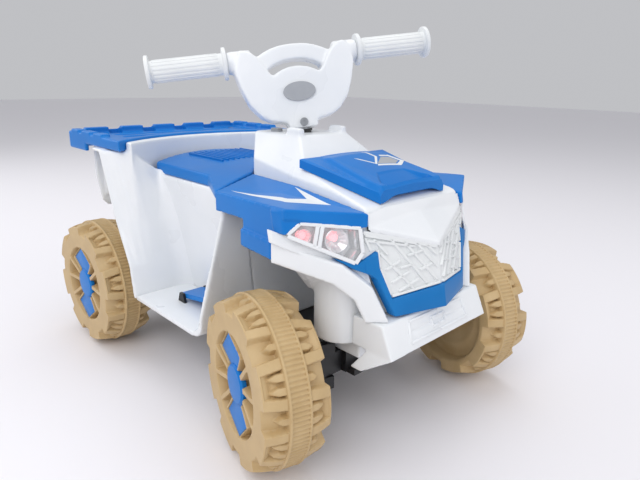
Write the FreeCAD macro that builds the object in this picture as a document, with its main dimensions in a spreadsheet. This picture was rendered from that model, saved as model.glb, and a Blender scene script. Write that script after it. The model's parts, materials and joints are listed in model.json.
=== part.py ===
import FreeCAD, Part
import math
import os

Vec = FreeCAD.Vector
doc = FreeCAD.newDocument("quad_bike")
sheet = doc.addObject("Spreadsheet::Sheet", "sizes")

# Driving dimensions in millimetres and degrees: x forward, y left, z up, ground at z = 0
SIZES = {
    # Running gear
    "wheelbase": 438, "wheel_radius": 100, "wheel_track": 354, "wheel_width": 74, "band_width": 25,
    "lug_height": 8, "rim_radius": 88, "lug_count": 8, "lug_angle": 32, "lug_arm_angle": 8,
    "lug_root_width": 8, "finger_angle": 5, "dish_radius": 64, "dish_depth": 18, "boss_radius": 19,
    "cap_thickness": 7, "cap_radius": 19.5, "cap_sink": 2, "kite_reach": 60, "kite_half_width": 30,
    "kite_thickness": 4, "front_wheel_turn": 12, "rib_width": 6, "rib_height": 9, "axle_diameter": 10,
    "running_clearance": 0.05, "seat_gap": 0.3, "nut_width": 17, "nut_height": 7, "nut_recess_radius": 14,
    "hub_pocket_depth": 21, "hex_pocket_depth": 12.3, "cap_edge": 2.3,
    # Steering
    "bar_turn": 32, "rake": 14, "grip_height": 454, "grip_line_x": 47, "kingpin_track": 210,
    "crank_radius": 50, "arm_radius": 100, "column_diameter": 14, "crank_height": 72, "crank_width": 22,
    "crank_thickness": 8, "pin_diameter": 8, "pin_clearance": 0.9, "tie_rod_floor": 40,
    "tie_rod_height": 8, "tie_rod_width": 12, "tie_end_width": 30, "slide_clearance": 0.4,
    "guide_position": 52, "guide_width": 8, "guide_wall": 6, "kingpin_diameter": 10, "knuckle_length": 28,
    "knuckle_lug": 16, "knuckle_web": 10, "knuckle_web_offset": 20, "arm_width": 14, "arm_thickness": 8,
    # Handlebar
    "bar_reach": 193, "grip_length": 104, "grip_diameter": 28, "grip_bore": 20, "flange_diameter": 42,
    "flange_thickness": 5, "plate_thickness": 30, "plate_half_width": 83, "plate_drop": 87,
    "stem_width": 40, "stem_drop": 93, "column_socket": 70, "slot_height": 13, "slot_reach": 38,
    "slot_drop": 10, "slot_sag": 9, "badge_half_width": 22, "badge_half_height": 12.5,
    "badge_thickness": 3, "badge_drop": 49, "bolt_diameter": 6, "bolt_head": 11, "bolt_drop": 90,
    "bolt_head_height": 4,
    # Chassis
    "floor_height": 84, "floor_thickness": 8, "chassis_half_width": 75, "chassis_front": 250,
    "chassis_rear": 290, "beam_length": 40, "beam_height": 28, "boss_length": 26, "bearing_width": 14,
    "bearing_height": 36, "bearing_length": 36, "left_bearing_out": 118, "wall": 4, "overrun": 5,
    "bush_below": 12, "bush_above": 2, "bush_hole_reach": 16,
    # Centre body and footwells
    "tunnel_ahead": 69, "tunnel_front": 80, "tunnel_low_half": 88, "tunnel_top_half": 112,
    "tunnel_top": 281, "well_floor": 106, "well_floor_wall": 6, "well_outer": 180, "shield_low_gap": 39,
    "shield_top_gap": 35, "shield_top": 281, "shield_top_half": 139, "shield_bend": 24, "well_corner": 22,
    # Tail
    "arch_low_ahead": 115, "arch_knee_ahead": 107, "arch_knee_z": 150, "arch_mid_ahead": 73,
    "arch_mid_z": 214, "arch_top_ahead": 35, "tail_half_width": 182, "tail_top": 318,
    "fender_end_ahead": 7, "tail_back_half": 132, "back_band": 14, "back_band_half": 158,
    "tail_behind": 71, "tail_skirt": 225, "tail_inner_half": 124, "tail_inner_low": 150, "shell": 5,
    "back_low": 280, "back_top": 331, "back_centre_ahead": 39, "back_end_ahead": 85, "back_end_half": 149,
    "back_depth": 46,
    # Rear rack
    "rack_half_width": 172, "rack_behind": 111, "rack_thickness": 9, "rack_rim": 7, "rack_rim_width": 14,
    "rack_lip": 12, "rack_slot_count": 4, "rack_slot_width": 14, "rack_slot_half": 110,
    "rack_slot_pitch": 34, "rack_slot_ahead": 7,
    # Seat
    "seat_low": 281, "seat_edge": 8, "seat_crown": 306, "seat_half_width": 110, "seat_rear_inset": 8,
    "seat_flare_half": 148, "seat_flare_x": 74, "seat_join_x": 42, "seat_join_half": 67,
    # Console and hood
    "console_low": 281, "console_rear": 15, "console_top": 356, "console_rise_x": 22,
    "console_fall_x": 112, "console_shoulder": 302, "console_half": 80, "console_front_half": 87.5,
    "console_top_half": 44, "console_nose_x": 268, "console_neck_x": 50, "console_neck_half": 70,
    "ear_height": 9, "ear_length": 26, "ear_width": 10, "hood_rear_x": 150, "hood_front_x": 262,
    "hood_rear_low": 323, "hood_front_low": 296, "hood_rear_thickness": 15, "hood_front_thickness": 20,
    "hood_rear_half": 77, "hood_front_half": 57,
    # Front fenders
    "fender_rear_x": 78, "fender_rear_half": 150, "fender_front_x": 228, "fender_front_half": 167,
    "fender_tip_x": 274, "fender_tip_half": 89, "fender_rear_top": 292, "fender_front_top": 300,
    "fender_tip_top": 292, "apron_proud": 2, "apron_depth": 16, "fender_low": 281, "fender_front_low": 289,
    "skirt_drop": 24, "skirt_wall": 6, "block_rear_x": 143, "block_front_x": 208, "block_low": 241,
    "block_height": 20, "block_depth": 16, "block_proud": 4,
    # Nose
    "prow_x": 305, "prow_z": 251, "prow_lean": 0.22, "prow_sweep": 0.30, "lamp_sweep": 0.65,
    "brow_half": 88, "brow_z": 277, "shield_wall": 6, "grille_half": 79.5, "grille_knee_z": 232,
    "grille_low_half": 68.5, "grille_low": 197, "grille_middle_low": 203, "grille_recess": 4,
    "trim_low": 177, "trim_low_half": 68, "trim_knee_half": 84.5, "trim_knee_z": 220.5,
    "trim_wing_low": 231, "trim_wing_top": 242, "trim_peak_z": 250, "trim_depth": 12, "tower_rear": 195,
    "tower_front": 262, "tower_half": 82, "leg_radius": 33, "leg_half": 78, "leg_low": 136,
    "flare_half": 132, "flare_front": 212, "flare_low": 190, "flare_low_half": 104, "flare_rise": 36,
    "flare_high": 250, "bumper_half": 95, "bumper_low": 139, "bumper_top": 174, "bumper_low_x": 320,
    "bumper_top_x": 304, "bumper_tail_x": 284, "bumper_tail_z": 116, "bumper_tail_half": 105,
    "bumper_tail_width": 26, "bumper_recess": 4, "bumper_recess_half": 58, "arm_height": 24,
    "arm_depth": 20, "arm_end_half": 158, "arm_end_z": 249, "arm_knee_half": 117, "arm_knee_z": 229,
    "arm_turn_half": 96.5, "arm_turn_z": 207, "arm_foot_half": 84.5,
    # Lamps
    "lamp_outer_half": 165, "lamp_outer_z": 272, "lamp_peak_half": 151, "lamp_peak_z": 284,
    "lamp_inner_half": 97, "lamp_inner_top": 277, "lamp_inner_low": 251, "lamp_heel_half": 106,
    "lamp_heel_z": 240, "lens_wall": 3, "lamp_depth": 14, "lamp_wall": 3, "led_radius": 4,
    "led_length": 7,
    # Drive
    "output_teeth": 48, "second_small_teeth": 12, "second_large_teeth": 40, "first_small_teeth": 12,
    "first_large_teeth": 36, "pinion_teeth": 10, "output_module": 1.5, "second_module": 1.25,
    "first_module": 1.0, "second_angle": 62, "first_angle": 96, "pinion_angle": 84, "gear_face": 8,
    "gear_gap": 2, "gear_side": 114, "gear_bore": 6, "case_clearance": 2, "case_wall": 3,
    "motor_radius": 14, "motor_length": 40, "motor_shaft": 2.3, "drive_hub_radius": 15, "drive_hex": 24,
    "hub_wall_hole": 20,
    # Battery, pedal and switches
    "battery_length": 98, "battery_width": 46, "battery_height": 52, "terminal_inset": 12,
    "terminal_spread": 11.5, "battery_ahead": 89, "pedal_rear": 38, "pedal_length": 74,
    "pedal_switch_x": 6, "pedal_width": 36, "pedal_inner": 100, "pedal_thickness": 7, "pedal_tilt": 10,
    "pedal_pin": 5, "pedal_lift": 9, "switch_width": 14, "switch_height": 7, "rocker_length": 22,
    "rocker_width": 14, "rocker_height": 12, "rocker_rise": 4, "button_radius": 8, "button_travel": 2.5,
    "button_height": 7, "switch_spacing": 25, "screw_head_radius": 5, "screw_head_height": 3,
}
for row, (alias, number) in enumerate(SIZES.items(), 1):
    sheet.set(f"A{row}", alias)
    sheet.set(f"B{row}", str(number))
    sheet.setAlias(f"B{row}", alias)
doc.recompute()


class Sizes:
    """Reads a named size from the sheet."""

    def __getattr__(self, alias):
        return float(sheet.get(alias))


v = Sizes()
NODES = []


def bind(obj, **expressions):
    """Binds properties of an object to expressions of the sheet's sizes."""
    for path, text in expressions.items():
        words = text
        for alias in sorted(SIZES, key=len, reverse=True):
            words = replace_word(words, alias, f"sizes.{alias}")
        obj.setExpression(path.replace("__", "."), words)


def replace_word(text, word, new):
    """Replaces a whole word of an expression that is not part of a longer name."""
    out = ""
    position = 0
    while True:
        found = text.find(word, position)
        if found < 0:
            return out + text[position:]
        before = text[found - 1] if found else " "
        after = text[found + len(word)] if found + len(word) < len(text) else " "
        whole = not (before.isalnum() or before in "_.") and not (after.isalnum() or after == "_")
        out += text[position:found] + (new if whole else word)
        position = found + len(word)


def node(obj, label):
    """Names a finished sub-part."""
    obj.Label = label
    NODES.append(obj)
    return obj


def solid_node(label, shape):
    """Adds a sub-part whose shape is worked out below from the sheet."""
    obj = doc.addObject("Part::Feature", label)
    obj.Shape = shape
    return node(obj, label)


def block(name, size, corner):
    """A box bound to the sheet: expressions of its three sizes and of its lowest corner."""
    obj = doc.addObject("Part::Box", name)
    bind(obj, Length=size[0], Width=size[1], Height=size[2])
    bind(obj, Placement__Base__x=corner[0], Placement__Base__y=corner[1], Placement__Base__z=corner[2])
    return obj


def rod(name, radius, length, start, axis):
    """A cylinder bound to the sheet: expressions of radius, length and start, along the x, y or z axis."""
    obj = doc.addObject("Part::Cylinder", name)
    turns = {"x": (Vec(0, 1, 0), 90), "y": (Vec(1, 0, 0), -90), "z": (Vec(0, 0, 1), 0)}
    obj.Placement = FreeCAD.Placement(Vec(0, 0, 0), FreeCAD.Rotation(*turns[axis]))
    bind(obj, Radius=radius, Height=length)
    bind(obj, Placement__Base__x=start[0], Placement__Base__y=start[1], Placement__Base__z=start[2])
    return obj


def joined(name, parts):
    """The union of several bound objects."""
    obj = doc.addObject("Part::MultiFuse", name)
    obj.Shapes = parts
    obj.Refine = True
    return obj


def mirror_points(points):
    """The same points on the other side of the vehicle."""
    return [Vec(p.x, -p.y, p.z) for p in points]


def ring_solid(rings):
    """A closed solid through rings of equal length, with flat triangles between them."""
    faces = []

    def face(*corners):
        faces.append(Part.Face(Part.makePolygon(list(corners) + [corners[0]])))

    def fan(ring):
        middle = sum(ring, Vec()) * (1 / len(ring))
        for a, b in zip(ring, ring[1:] + ring[:1]):
            face(middle, a, b)

    for low, high in zip(rings, rings[1:]):
        for i in range(len(low)):
            j = (i + 1) % len(low)
            face(low[i], low[j], high[j])
            face(low[i], high[j], high[i])
    fan(rings[0])
    fan(rings[-1])
    solid = Part.Solid(Part.Shell(faces))
    solid.fix(v.running_clearance / v.wheelbase, 0, 0)
    if solid.Volume < 0:
        solid.reverse()
    return solid.removeSplitter()


def prism(points, along):
    """A flat outline drawn out along a vector."""
    return Part.Face(Part.makePolygon(points + points[:1])).extrude(along)


def side_prism(outline, low_y, high_y):
    """An outline of (x, z) points drawn from one y to another."""
    return prism([Vec(x, low_y, z) for x, z in outline], Vec(0, high_y - low_y, 0))


def plan_prism(outline, low_z, high_z):
    """An outline of (x, y) points drawn from one height to another."""
    return prism([Vec(x, y, low_z) for x, y in outline], Vec(0, 0, high_z - low_z))


def front_prism(outline, low_x, high_x):
    """An outline of (y, z) points drawn from one x to another."""
    return prism([Vec(low_x, y, z) for y, z in outline], Vec(high_x - low_x, 0, 0))


def both_halves(outline):
    """An outline of (x, y) points on one side, from rear to front, closed by its mirror image."""
    return outline + [(x, -y) for x, y in reversed(outline) if y]


def fused(shapes):
    """The union of several shapes as one clean shape."""
    return shapes[0].multiFuse(shapes[1:]).removeSplitter()


def mirrored(shape):
    """The same shape on the other side of the vehicle."""
    return shape.mirror(Vec(), Vec(0, 1, 0))


def round_edges(shape, direction, radius):
    """Rounds the straight edges of a shape that run along a direction."""
    edges = [e for e in shape.Edges if is_along(e, direction)]
    return shape.makeFillet(radius, edges)


def is_along(edge, direction):
    """Tells whether an edge is a straight line along a direction."""
    straight = isinstance(edge.Curve, Part.Line)
    return straight and abs(abs(edge.tangentAt(edge.FirstParameter).dot(direction)) - 1) < SAME_DIRECTION


SAME_DIRECTION = 1e-6

# Worked-out places that several sub-parts share
AXLE_X = v.wheelbase / 2
# Places along the body, measured from the axles so that they follow the wheelbase
ARCH_LOW_X = AXLE_X - v.arch_low_ahead
ARCH_KNEE_X = AXLE_X - v.arch_knee_ahead
ARCH_MID_X = AXLE_X - v.arch_mid_ahead
ARCH_TOP_X = AXLE_X - v.arch_top_ahead
FENDER_END_X = AXLE_X - v.fender_end_ahead
TAIL_REAR = AXLE_X + v.tail_behind
BACK_CENTRE_X = AXLE_X - v.back_centre_ahead
BACK_END_X = AXLE_X - v.back_end_ahead
RACK_REAR = AXLE_X + v.rack_behind
RACK_SLOT_FRONT = AXLE_X - v.rack_slot_ahead
TUNNEL_REAR = AXLE_X - v.tunnel_ahead
SHIELD_LOW_X = AXLE_X - v.wheel_radius - v.shield_low_gap
SHIELD_TOP_X = AXLE_X - v.wheel_radius - v.shield_top_gap
HALF_TRACK = v.wheel_track / 2
HALF_WHEEL = v.wheel_width / 2
KINGPIN_Y = v.kingpin_track / 2
RAKE = math.radians(v.rake)
COLUMN_UP = Vec(-math.sin(RAKE), 0, math.cos(RAKE))
GRIP_POINT = Vec(v.grip_line_x, 0, v.grip_height)
PIN_SWING = v.crank_radius * math.sin(math.radians(v.bar_turn))
STEER = math.degrees(math.asin(PIN_SWING / v.arm_radius))
CAP_SEAT = HALF_WHEEL - v.cap_sink - v.cap_thickness
DISH_FLOOR = HALF_WHEEL - v.dish_depth
NUT_SEAT = CAP_SEAT - v.hub_pocket_depth
AXLE_RADIUS = v.axle_diameter / 2
FLOOR_TOP = v.floor_height + v.floor_thickness
FULL_TURN = 360
HEX_SIDES = 6


def around_column(offset_degrees):
    """The turn of the handlebar about the steering column."""
    return FreeCAD.Placement(Vec(), FreeCAD.Rotation(COLUMN_UP, offset_degrees), GRIP_POINT)


def around_kingpin(side):
    """The turn of a front wheel about its kingpin, with side 1 on the left and -1 on the right."""
    return FreeCAD.Placement(Vec(), FreeCAD.Rotation(Vec(0, 0, 1), -STEER), Vec(AXLE_X, side * KINGPIN_Y, 0))


def revolved(profile):
    """An outline of (radius, width) points turned round the y axis."""
    face = Part.Face(Part.makePolygon([Vec(r, w, 0) for r, w in profile + profile[:1]]))
    return face.revolve(Vec(), Vec(0, 1, 0), FULL_TURN)


def hexagon(across_flats, low_y, high_y):
    """A six-sided prism about the y axis."""
    radius = across_flats / math.sqrt(3)
    corners = [(radius * math.cos(math.radians(a)), radius * math.sin(math.radians(a)))
               for a in range(0, FULL_TURN, FULL_TURN // HEX_SIDES)]
    return side_prism(corners, low_y, high_y)


def sector(middle, spread, low_w, high_w):
    """A piece of a ring about the y axis, as wide as the tread is thick."""
    inner = v.rim_radius - 2 * v.lug_height
    outer = v.wheel_radius + v.lug_height
    a = math.radians(middle - spread / 2)
    b = math.radians(middle + spread / 2)
    corners = [(inner, a), (outer, a), (outer, b), (inner, b)]
    return side_prism([(r * math.cos(t), r * math.sin(t)) for r, t in corners], low_w, high_w)


def tread_lugs():
    """The shoulder lugs on one side: C-shaped blocks with a small finger between neighbours."""
    edge = v.band_width / 2
    low = v.rim_radius - v.lug_height
    step = v.wheel_radius - v.lug_height
    ring = revolved([(step, edge), (v.wheel_radius - v.running_clearance, edge), (v.rim_radius, HALF_WHEEL),
                     (low, HALF_WHEEL)])
    pitch = FULL_TURN / v.lug_count
    arm_offset = (v.lug_angle - v.lug_arm_angle) / 2
    pieces = []
    for index in range(int(v.lug_count)):
        middle = index * pitch
        pieces.append(sector(middle, v.lug_angle, edge, edge + v.lug_root_width))
        pieces.append(sector(middle - arm_offset, v.lug_arm_angle, edge, HALF_WHEEL))
        pieces.append(sector(middle + arm_offset, v.lug_arm_angle, edge, HALF_WHEEL))
        pieces.append(sector(middle + pitch / 2, v.finger_angle, edge, HALF_WHEEL))
    return ring.common(fused(pieces))


def wheel_shape():
    """One moulded wheel about the y axis, with its outer side towards +y."""
    bore = AXLE_RADIUS + v.running_clearance
    step = v.wheel_radius - v.lug_height
    low = v.rim_radius - v.lug_height
    edge = v.band_width / 2
    profile = [(bore, -HALF_WHEEL), (low, -HALF_WHEEL), (step, -edge), (v.wheel_radius, -edge),
               (v.wheel_radius, edge), (step, edge), (low, HALF_WHEEL), (v.dish_radius, HALF_WHEEL),
               (v.dish_radius, DISH_FLOOR), (v.boss_radius, DISH_FLOOR), (v.boss_radius, CAP_SEAT),
               (v.nut_recess_radius, CAP_SEAT), (v.nut_recess_radius, NUT_SEAT), (bore, NUT_SEAT)]
    wall = v.wall
    hollow = [(v.boss_radius, -HALF_WHEEL + wall), (low - wall, -HALF_WHEEL + wall), (step - wall, -edge),
              (step - wall, DISH_FLOOR - wall), (v.boss_radius, DISH_FLOOR - wall)]
    body = revolved(profile).cut(revolved(hollow))
    lugs = tread_lugs()
    rib_end = v.dish_radius + v.rib_width / 2
    rib_blank = side_prism([(0, -v.rib_width / 2), (rib_end, -v.rib_width / 2), (rib_end, v.rib_width / 2),
                            (0, v.rib_width / 2)], DISH_FLOOR, DISH_FLOOR + v.rib_height)
    clear = v.cap_radius + v.kite_thickness + v.seat_gap
    hub = Part.makeCylinder(clear, v.wheel_width, Vec(0, -HALF_WHEEL, 0), Vec(0, 1, 0))
    rib = rib_blank.cut(hub)
    ribs = []
    for side in (0, FULL_TURN / 2):
        for share in RIB_ANGLE_SHARES:
            turned = rib.copy()
            turned.rotate(Vec(), Vec(0, 1, 0), side + share * FULL_TURN)
            ribs.append(turned)
    pocket = hexagon(v.drive_hex + v.seat_gap, -HALF_WHEEL, -HALF_WHEEL + v.hex_pocket_depth)
    return fused([body, lugs, lugs.mirror(Vec(), Vec(0, 1, 0))] + ribs).cut(pocket)


# Ribs of the wheel's dish, as shares of a turn from the level direction
RIB_ANGLE_SHARES = (-0.11, -0.04, 0.04, 0.11)


def cap_shape():
    """The hub cap: a domed disc with two opposite kites that lie on the dish."""
    face = CAP_SEAT + v.cap_thickness
    disc = Part.makeCylinder(v.cap_radius + v.kite_thickness, v.cap_thickness, Vec(0, CAP_SEAT, 0),
                             Vec(0, 1, 0))
    top_edge = [e for e in disc.Edges if abs(e.BoundBox.YMin - face) < v.running_clearance]
    disc = disc.makeChamfer(v.cap_edge, top_edge)
    start = v.boss_radius + v.seat_gap
    middle = (start + v.kite_reach) * KITE_WIDEST_SHARE
    neck = v.kite_half_width * KITE_NECK_SHARE
    kite = [(-neck, start), (neck, start), (v.kite_half_width, middle), (0, v.kite_reach),
            (-v.kite_half_width, middle)]
    kites = []
    for side in (1, -1):
        outline = [(x, side * z) for x, z in kite]
        kites.append(side_prism(outline, DISH_FLOOR, CAP_SEAT + v.kite_thickness))
    return fused([disc] + kites)


KITE_WIDEST_SHARE = 0.48
KITE_NECK_SHARE = 0.35


def wheel_place(side, front):
    """Where a wheel's own frame lies: side 1 left and -1 right, front 1 and rear -1."""
    face_out = FreeCAD.Rotation(Vec(0, 0, 1), 0 if side > 0 else FULL_TURN / 2)
    spin = v.front_wheel_turn * (-side) if front > 0 else 0
    turn = FreeCAD.Rotation(Vec(0, 1, 0), spin)
    place = FreeCAD.Placement(Vec(front * AXLE_X, side * HALF_TRACK, v.wheel_radius), face_out.multiply(turn))
    return around_kingpin(side).multiply(place) if front > 0 else place


def make_wheels():
    """The four wheels and their hub caps."""
    wheel = wheel_shape()
    cap = cap_shape()
    for front, end in ((1, "front"), (-1, "rear")):
        for side, hand in ((-1, "right"), (1, "left")):
            place = wheel_place(side, front)
            solid_node(f"{end}_{hand}_wheel", wheel.copy()).Placement = place
            solid_node(f"{end}_{hand}_hub_cap", cap.copy()).Placement = place


def nut_shape():
    """An axle nut on its thread, against the wheel's inner seat."""
    nut = hexagon(v.nut_width, NUT_SEAT + v.seat_gap, NUT_SEAT + v.seat_gap + v.nut_height)
    hole = Part.makeCylinder(AXLE_RADIUS, v.wheel_width, Vec(0, 0, 0), Vec(0, 1, 0))
    return nut.cut(hole)


def stub_shape():
    """A front stub axle with its collar, from the knuckle's web to past the nut."""
    web_face = -(HALF_TRACK - KINGPIN_Y - v.knuckle_web_offset)
    end = NUT_SEAT + v.nut_height + AXLE_RADIUS / 2
    shaft = Part.makeCylinder(AXLE_RADIUS, end - web_face, Vec(0, web_face, 0), Vec(0, 1, 0))
    collar_start = web_face + v.knuckle_web
    collar_end = -HALF_WHEEL + v.hex_pocket_depth - v.seat_gap
    collar = Part.makeCylinder(v.axle_diameter, collar_end - collar_start, Vec(0, collar_start, 0),
                               Vec(0, 1, 0))
    return fused([shaft, collar])


def knuckle_shape(side):
    """A steering knuckle about its kingpin, drawn straight ahead, with its arm to the rear."""
    half = v.knuckle_length / 2
    boss_low = v.wheel_radius - v.beam_height / 2
    boss_high = boss_low + v.beam_height
    reach = v.knuckle_web_offset + v.knuckle_web
    lug_plan = [(-half, -half), (half, -half), (half, reach), (-half, reach)]
    upper = plan_prism(lug_plan, boss_high + v.seat_gap, boss_high + v.seat_gap + v.knuckle_lug)
    lower = plan_prism(lug_plan, boss_low - v.seat_gap - v.knuckle_lug, boss_low - v.seat_gap)
    web_plan = [(-half, v.knuckle_web_offset), (half, v.knuckle_web_offset), (half, reach), (-half, reach)]
    low = boss_low - v.seat_gap - v.knuckle_lug
    web = plan_prism(web_plan, low, boss_high + v.seat_gap + v.knuckle_lug)
    wide = v.arm_width / 2
    tip = v.arm_radius + wide
    arm_plan = [(-tip, -wide), (0, -wide), (0, wide), (-tip, wide)]
    arm = plan_prism(arm_plan, low, low + v.arm_thickness)
    pin_low = v.tie_rod_floor - v.slide_clearance
    pin = Part.makeCylinder(v.pin_diameter / 2, low + v.arm_thickness - pin_low,
                            Vec(-v.arm_radius, 0, pin_low))
    bore_radius = v.kingpin_diameter / 2 + v.running_clearance
    bore = Part.makeCylinder(bore_radius, v.wheel_radius * 2, Vec(0, 0, 0))
    axle_hole = Part.makeCylinder(AXLE_RADIUS, v.wheel_width, Vec(0, 0, v.wheel_radius), Vec(0, 1, 0))
    shape = fused([upper, lower, web, arm, pin]).cut(bore).cut(axle_hole)
    return shape if side > 0 else mirrored(shape)


def make_knuckles():
    """Both steering knuckles with their stub axles and nuts."""
    for side, hand in ((-1, "right"), (1, "left")):
        turn = FreeCAD.Rotation(Vec(0, 0, 1), -STEER)
        place = FreeCAD.Placement(Vec(AXLE_X, side * KINGPIN_Y, 0), turn)
        solid_node(f"{hand}_knuckle", knuckle_shape(side)).Placement = place
        solid_node(f"{hand}_stub_axle", stub_shape()).Placement = wheel_place(side, 1)
        solid_node(f"front_{hand}_axle_nut", nut_shape()).Placement = wheel_place(side, 1)


def along_column(height):
    """The point of the column's axis at a height."""
    return GRIP_POINT + COLUMN_UP * ((height - v.grip_height) / COLUMN_UP.z)


def column_shape():
    """The steering column with its crank and crank pin, drawn straight ahead."""
    crank = along_column(v.crank_height)
    top = GRIP_POINT - COLUMN_UP * v.column_socket
    down = COLUMN_UP * -1
    shaft = Part.makeCylinder(v.column_diameter / 2, (top - crank).Length + v.crank_thickness / 2, top, down)
    rear = Vec(-math.cos(RAKE), 0, -math.sin(RAKE))
    wide = Vec(0, v.crank_width / 2, 0)
    start = crank - rear * (v.crank_width / 2) + down * (v.crank_thickness / 2)
    tip = crank + rear * (v.crank_radius + v.crank_width / 2) + down * (v.crank_thickness / 2)
    plate = prism([start - wide, tip - wide, tip + wide, start + wide], COLUMN_UP * v.crank_thickness)
    pin_top = crank + rear * v.crank_radius
    pin_length = (pin_top.z - v.tie_rod_floor + v.slide_clearance) / COLUMN_UP.z
    pin = Part.makeCylinder(v.pin_diameter / 2, pin_length, pin_top, down)
    return fused([shaft, plate, pin])


def tie_rod_shape():
    """The tie rod with fore-and-aft slots for the crank pin and both arm pins, drawn straight ahead."""
    low = v.tie_rod_floor
    pin_x = AXLE_X - v.arm_radius
    mean_swing = v.crank_radius * math.cos(RAKE) * (1 + math.cos(math.radians(v.bar_turn))) / 2
    pin_drop = v.crank_height - v.crank_radius * math.sin(RAKE) - low - v.tie_rod_height / 2
    crank_x = along_column(v.crank_height).x - mean_swing + pin_drop * math.tan(RAKE)
    half = v.tie_rod_width / 2
    end = v.tie_end_width / 2
    bar = plan_prism([(pin_x - half, -KINGPIN_Y), (pin_x + half, -KINGPIN_Y), (pin_x + half, KINGPIN_Y),
                      (pin_x - half, KINGPIN_Y)], low, low + v.tie_rod_height)
    slot_half = v.pin_diameter / 2 + v.pin_clearance
    plates = [bar]
    slots = []
    wide = end / 2 + slot_half
    reach = end - v.wall
    for y, x in ((-KINGPIN_Y, pin_x), (0, crank_x), (KINGPIN_Y, pin_x)):
        front = max(x + end, pin_x + half)
        plates.append(plan_prism([(x - end, y - wide), (front, y - wide), (front, y + wide),
                                  (x - end, y + wide)],
                                 low, low + v.tie_rod_height))
        slots.append(plan_prism([(x - reach, y - slot_half), (x + reach, y - slot_half),
                                 (x + reach, y + slot_half), (x - reach, y + slot_half)],
                                low - v.overrun, low + v.tie_rod_height + v.overrun))
    return fused(plates).cut(fused(slots))


# Outline of the handlebar's plate from its top middle to its foot: shares of its half width and drop
PLATE_SHARES = ((0, 0.17), (0.3, 0.15), (0.6, 0.03), (0.78, 0.15), (1, 0.17), (1, -0.2), (0.95, -0.36),
                (0.84, -0.63), (0.61, -0.92), (0.39, -1))


def bar_place(turned=True):
    """The handlebar's own frame: y along the grips, z up along the column."""
    leaned = FreeCAD.Placement(GRIP_POINT, FreeCAD.Rotation(Vec(0, 1, 0), -v.rake))
    return around_column(-v.bar_turn).multiply(leaned) if turned else leaned


def arc_slot():
    """The curved finger slot of the handlebar's plate."""
    half = v.slot_height / 2

    def arc(offset):
        end = -v.slot_drop - v.slot_sag + offset
        return Part.Arc(Vec(0, -v.slot_reach, end), Vec(0, 0, -v.slot_drop + offset),
                        Vec(0, v.slot_reach, end)).toShape()

    upper = arc(half)
    lower = arc(-half)
    ends = [Part.makeLine(upper.Vertexes[k].Point, lower.Vertexes[k].Point) for k in (0, 1)]
    face = Part.Face(Part.Wire(Part.__sortEdges__([upper, lower] + ends)))
    deep = v.plate_thickness + v.overrun
    face.translate(Vec(-deep / 2, 0, 0))
    return face.extrude(Vec(deep, 0, 0))


def handlebar_shape():
    """The moulded handlebar: plate, stem, grip roots and the bars that carry the grips."""
    thick = v.plate_thickness
    right = [(y * v.plate_half_width, z * v.plate_drop) for y, z in PLATE_SHARES]
    outline = right + [(-y, z) for y, z in reversed(right) if y]
    plate = front_prism(outline, -thick / 2, thick / 2)
    plate = round_edges(plate, Vec(1, 0, 0), thick * PLATE_ROUND_SHARE)
    stem_half = v.stem_width / 2
    stem = front_prism([(-stem_half, -v.plate_drop / 2), (stem_half, -v.plate_drop / 2),
                        (stem_half, -v.stem_drop), (-stem_half, -v.stem_drop)], -thick / 2, thick / 2)
    root_end = v.bar_reach - v.grip_length
    root = Part.makeCylinder(v.grip_diameter / 2, 2 * root_end, Vec(0, -root_end, 0), Vec(0, 1, 0))
    reach = v.bar_reach - v.flange_thickness
    bar = Part.makeCylinder(v.grip_bore / 2, 2 * reach, Vec(0, -reach, 0), Vec(0, 1, 0))
    socket = Part.makeCylinder(v.column_diameter / 2 + v.running_clearance, v.stem_drop,
                               Vec(0, 0, -v.column_socket), Vec(0, 0, -1))
    bolt = Part.makeCylinder(v.bolt_diameter / 2 + v.running_clearance, v.stem_width,
                             Vec(-v.stem_width / 2, 0, -v.bolt_drop), Vec(1, 0, 0))
    return fused([plate, stem, root, bar]).cut(arc_slot()).cut(socket).cut(bolt)


PLATE_ROUND_SHARE = 0.12


def grip_shape():
    """One grip sleeve with a flange at each end, on the left end of the handlebar."""
    start = v.bar_reach - v.grip_length
    along = Vec(0, 1, 0)
    sleeve = Part.makeCylinder(v.grip_diameter / 2, v.grip_length, Vec(0, start, 0), along)
    inner = Part.makeCylinder(v.flange_diameter / 2, v.flange_thickness, Vec(0, start, 0), along)
    outer_start = v.bar_reach - v.flange_thickness
    outer = Part.makeCylinder(v.flange_diameter / 2, v.flange_thickness, Vec(0, outer_start, 0), along)
    hole_radius = v.grip_bore / 2 + v.running_clearance
    hole = Part.makeCylinder(hole_radius, v.grip_length - v.flange_thickness, Vec(0, start, 0), along)
    return fused([sleeve, inner, outer]).cut(hole)


def badge_shape():
    """A bare oval badge on the front of the handlebar's plate."""
    middle = Vec(v.plate_thickness / 2, 0, -v.badge_drop)
    oval = Part.Ellipse(middle + Vec(0, v.badge_half_width, 0), middle + Vec(0, 0, v.badge_half_height),
                        middle)
    return Part.Face(Part.Wire(oval.toShape())).extrude(Vec(v.badge_thickness, 0, 0))


def bolt_shape():
    """The bolt that holds the column in the stem."""
    half = v.plate_thickness / 2
    shank = Part.makeCylinder(v.bolt_diameter / 2, v.plate_thickness, Vec(-half, 0, -v.bolt_drop),
                              Vec(1, 0, 0))
    head = Part.makeCylinder(v.bolt_head / 2, v.bolt_head_height, Vec(half, 0, -v.bolt_drop), Vec(1, 0, 0))
    return fused([shank, head])


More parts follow.
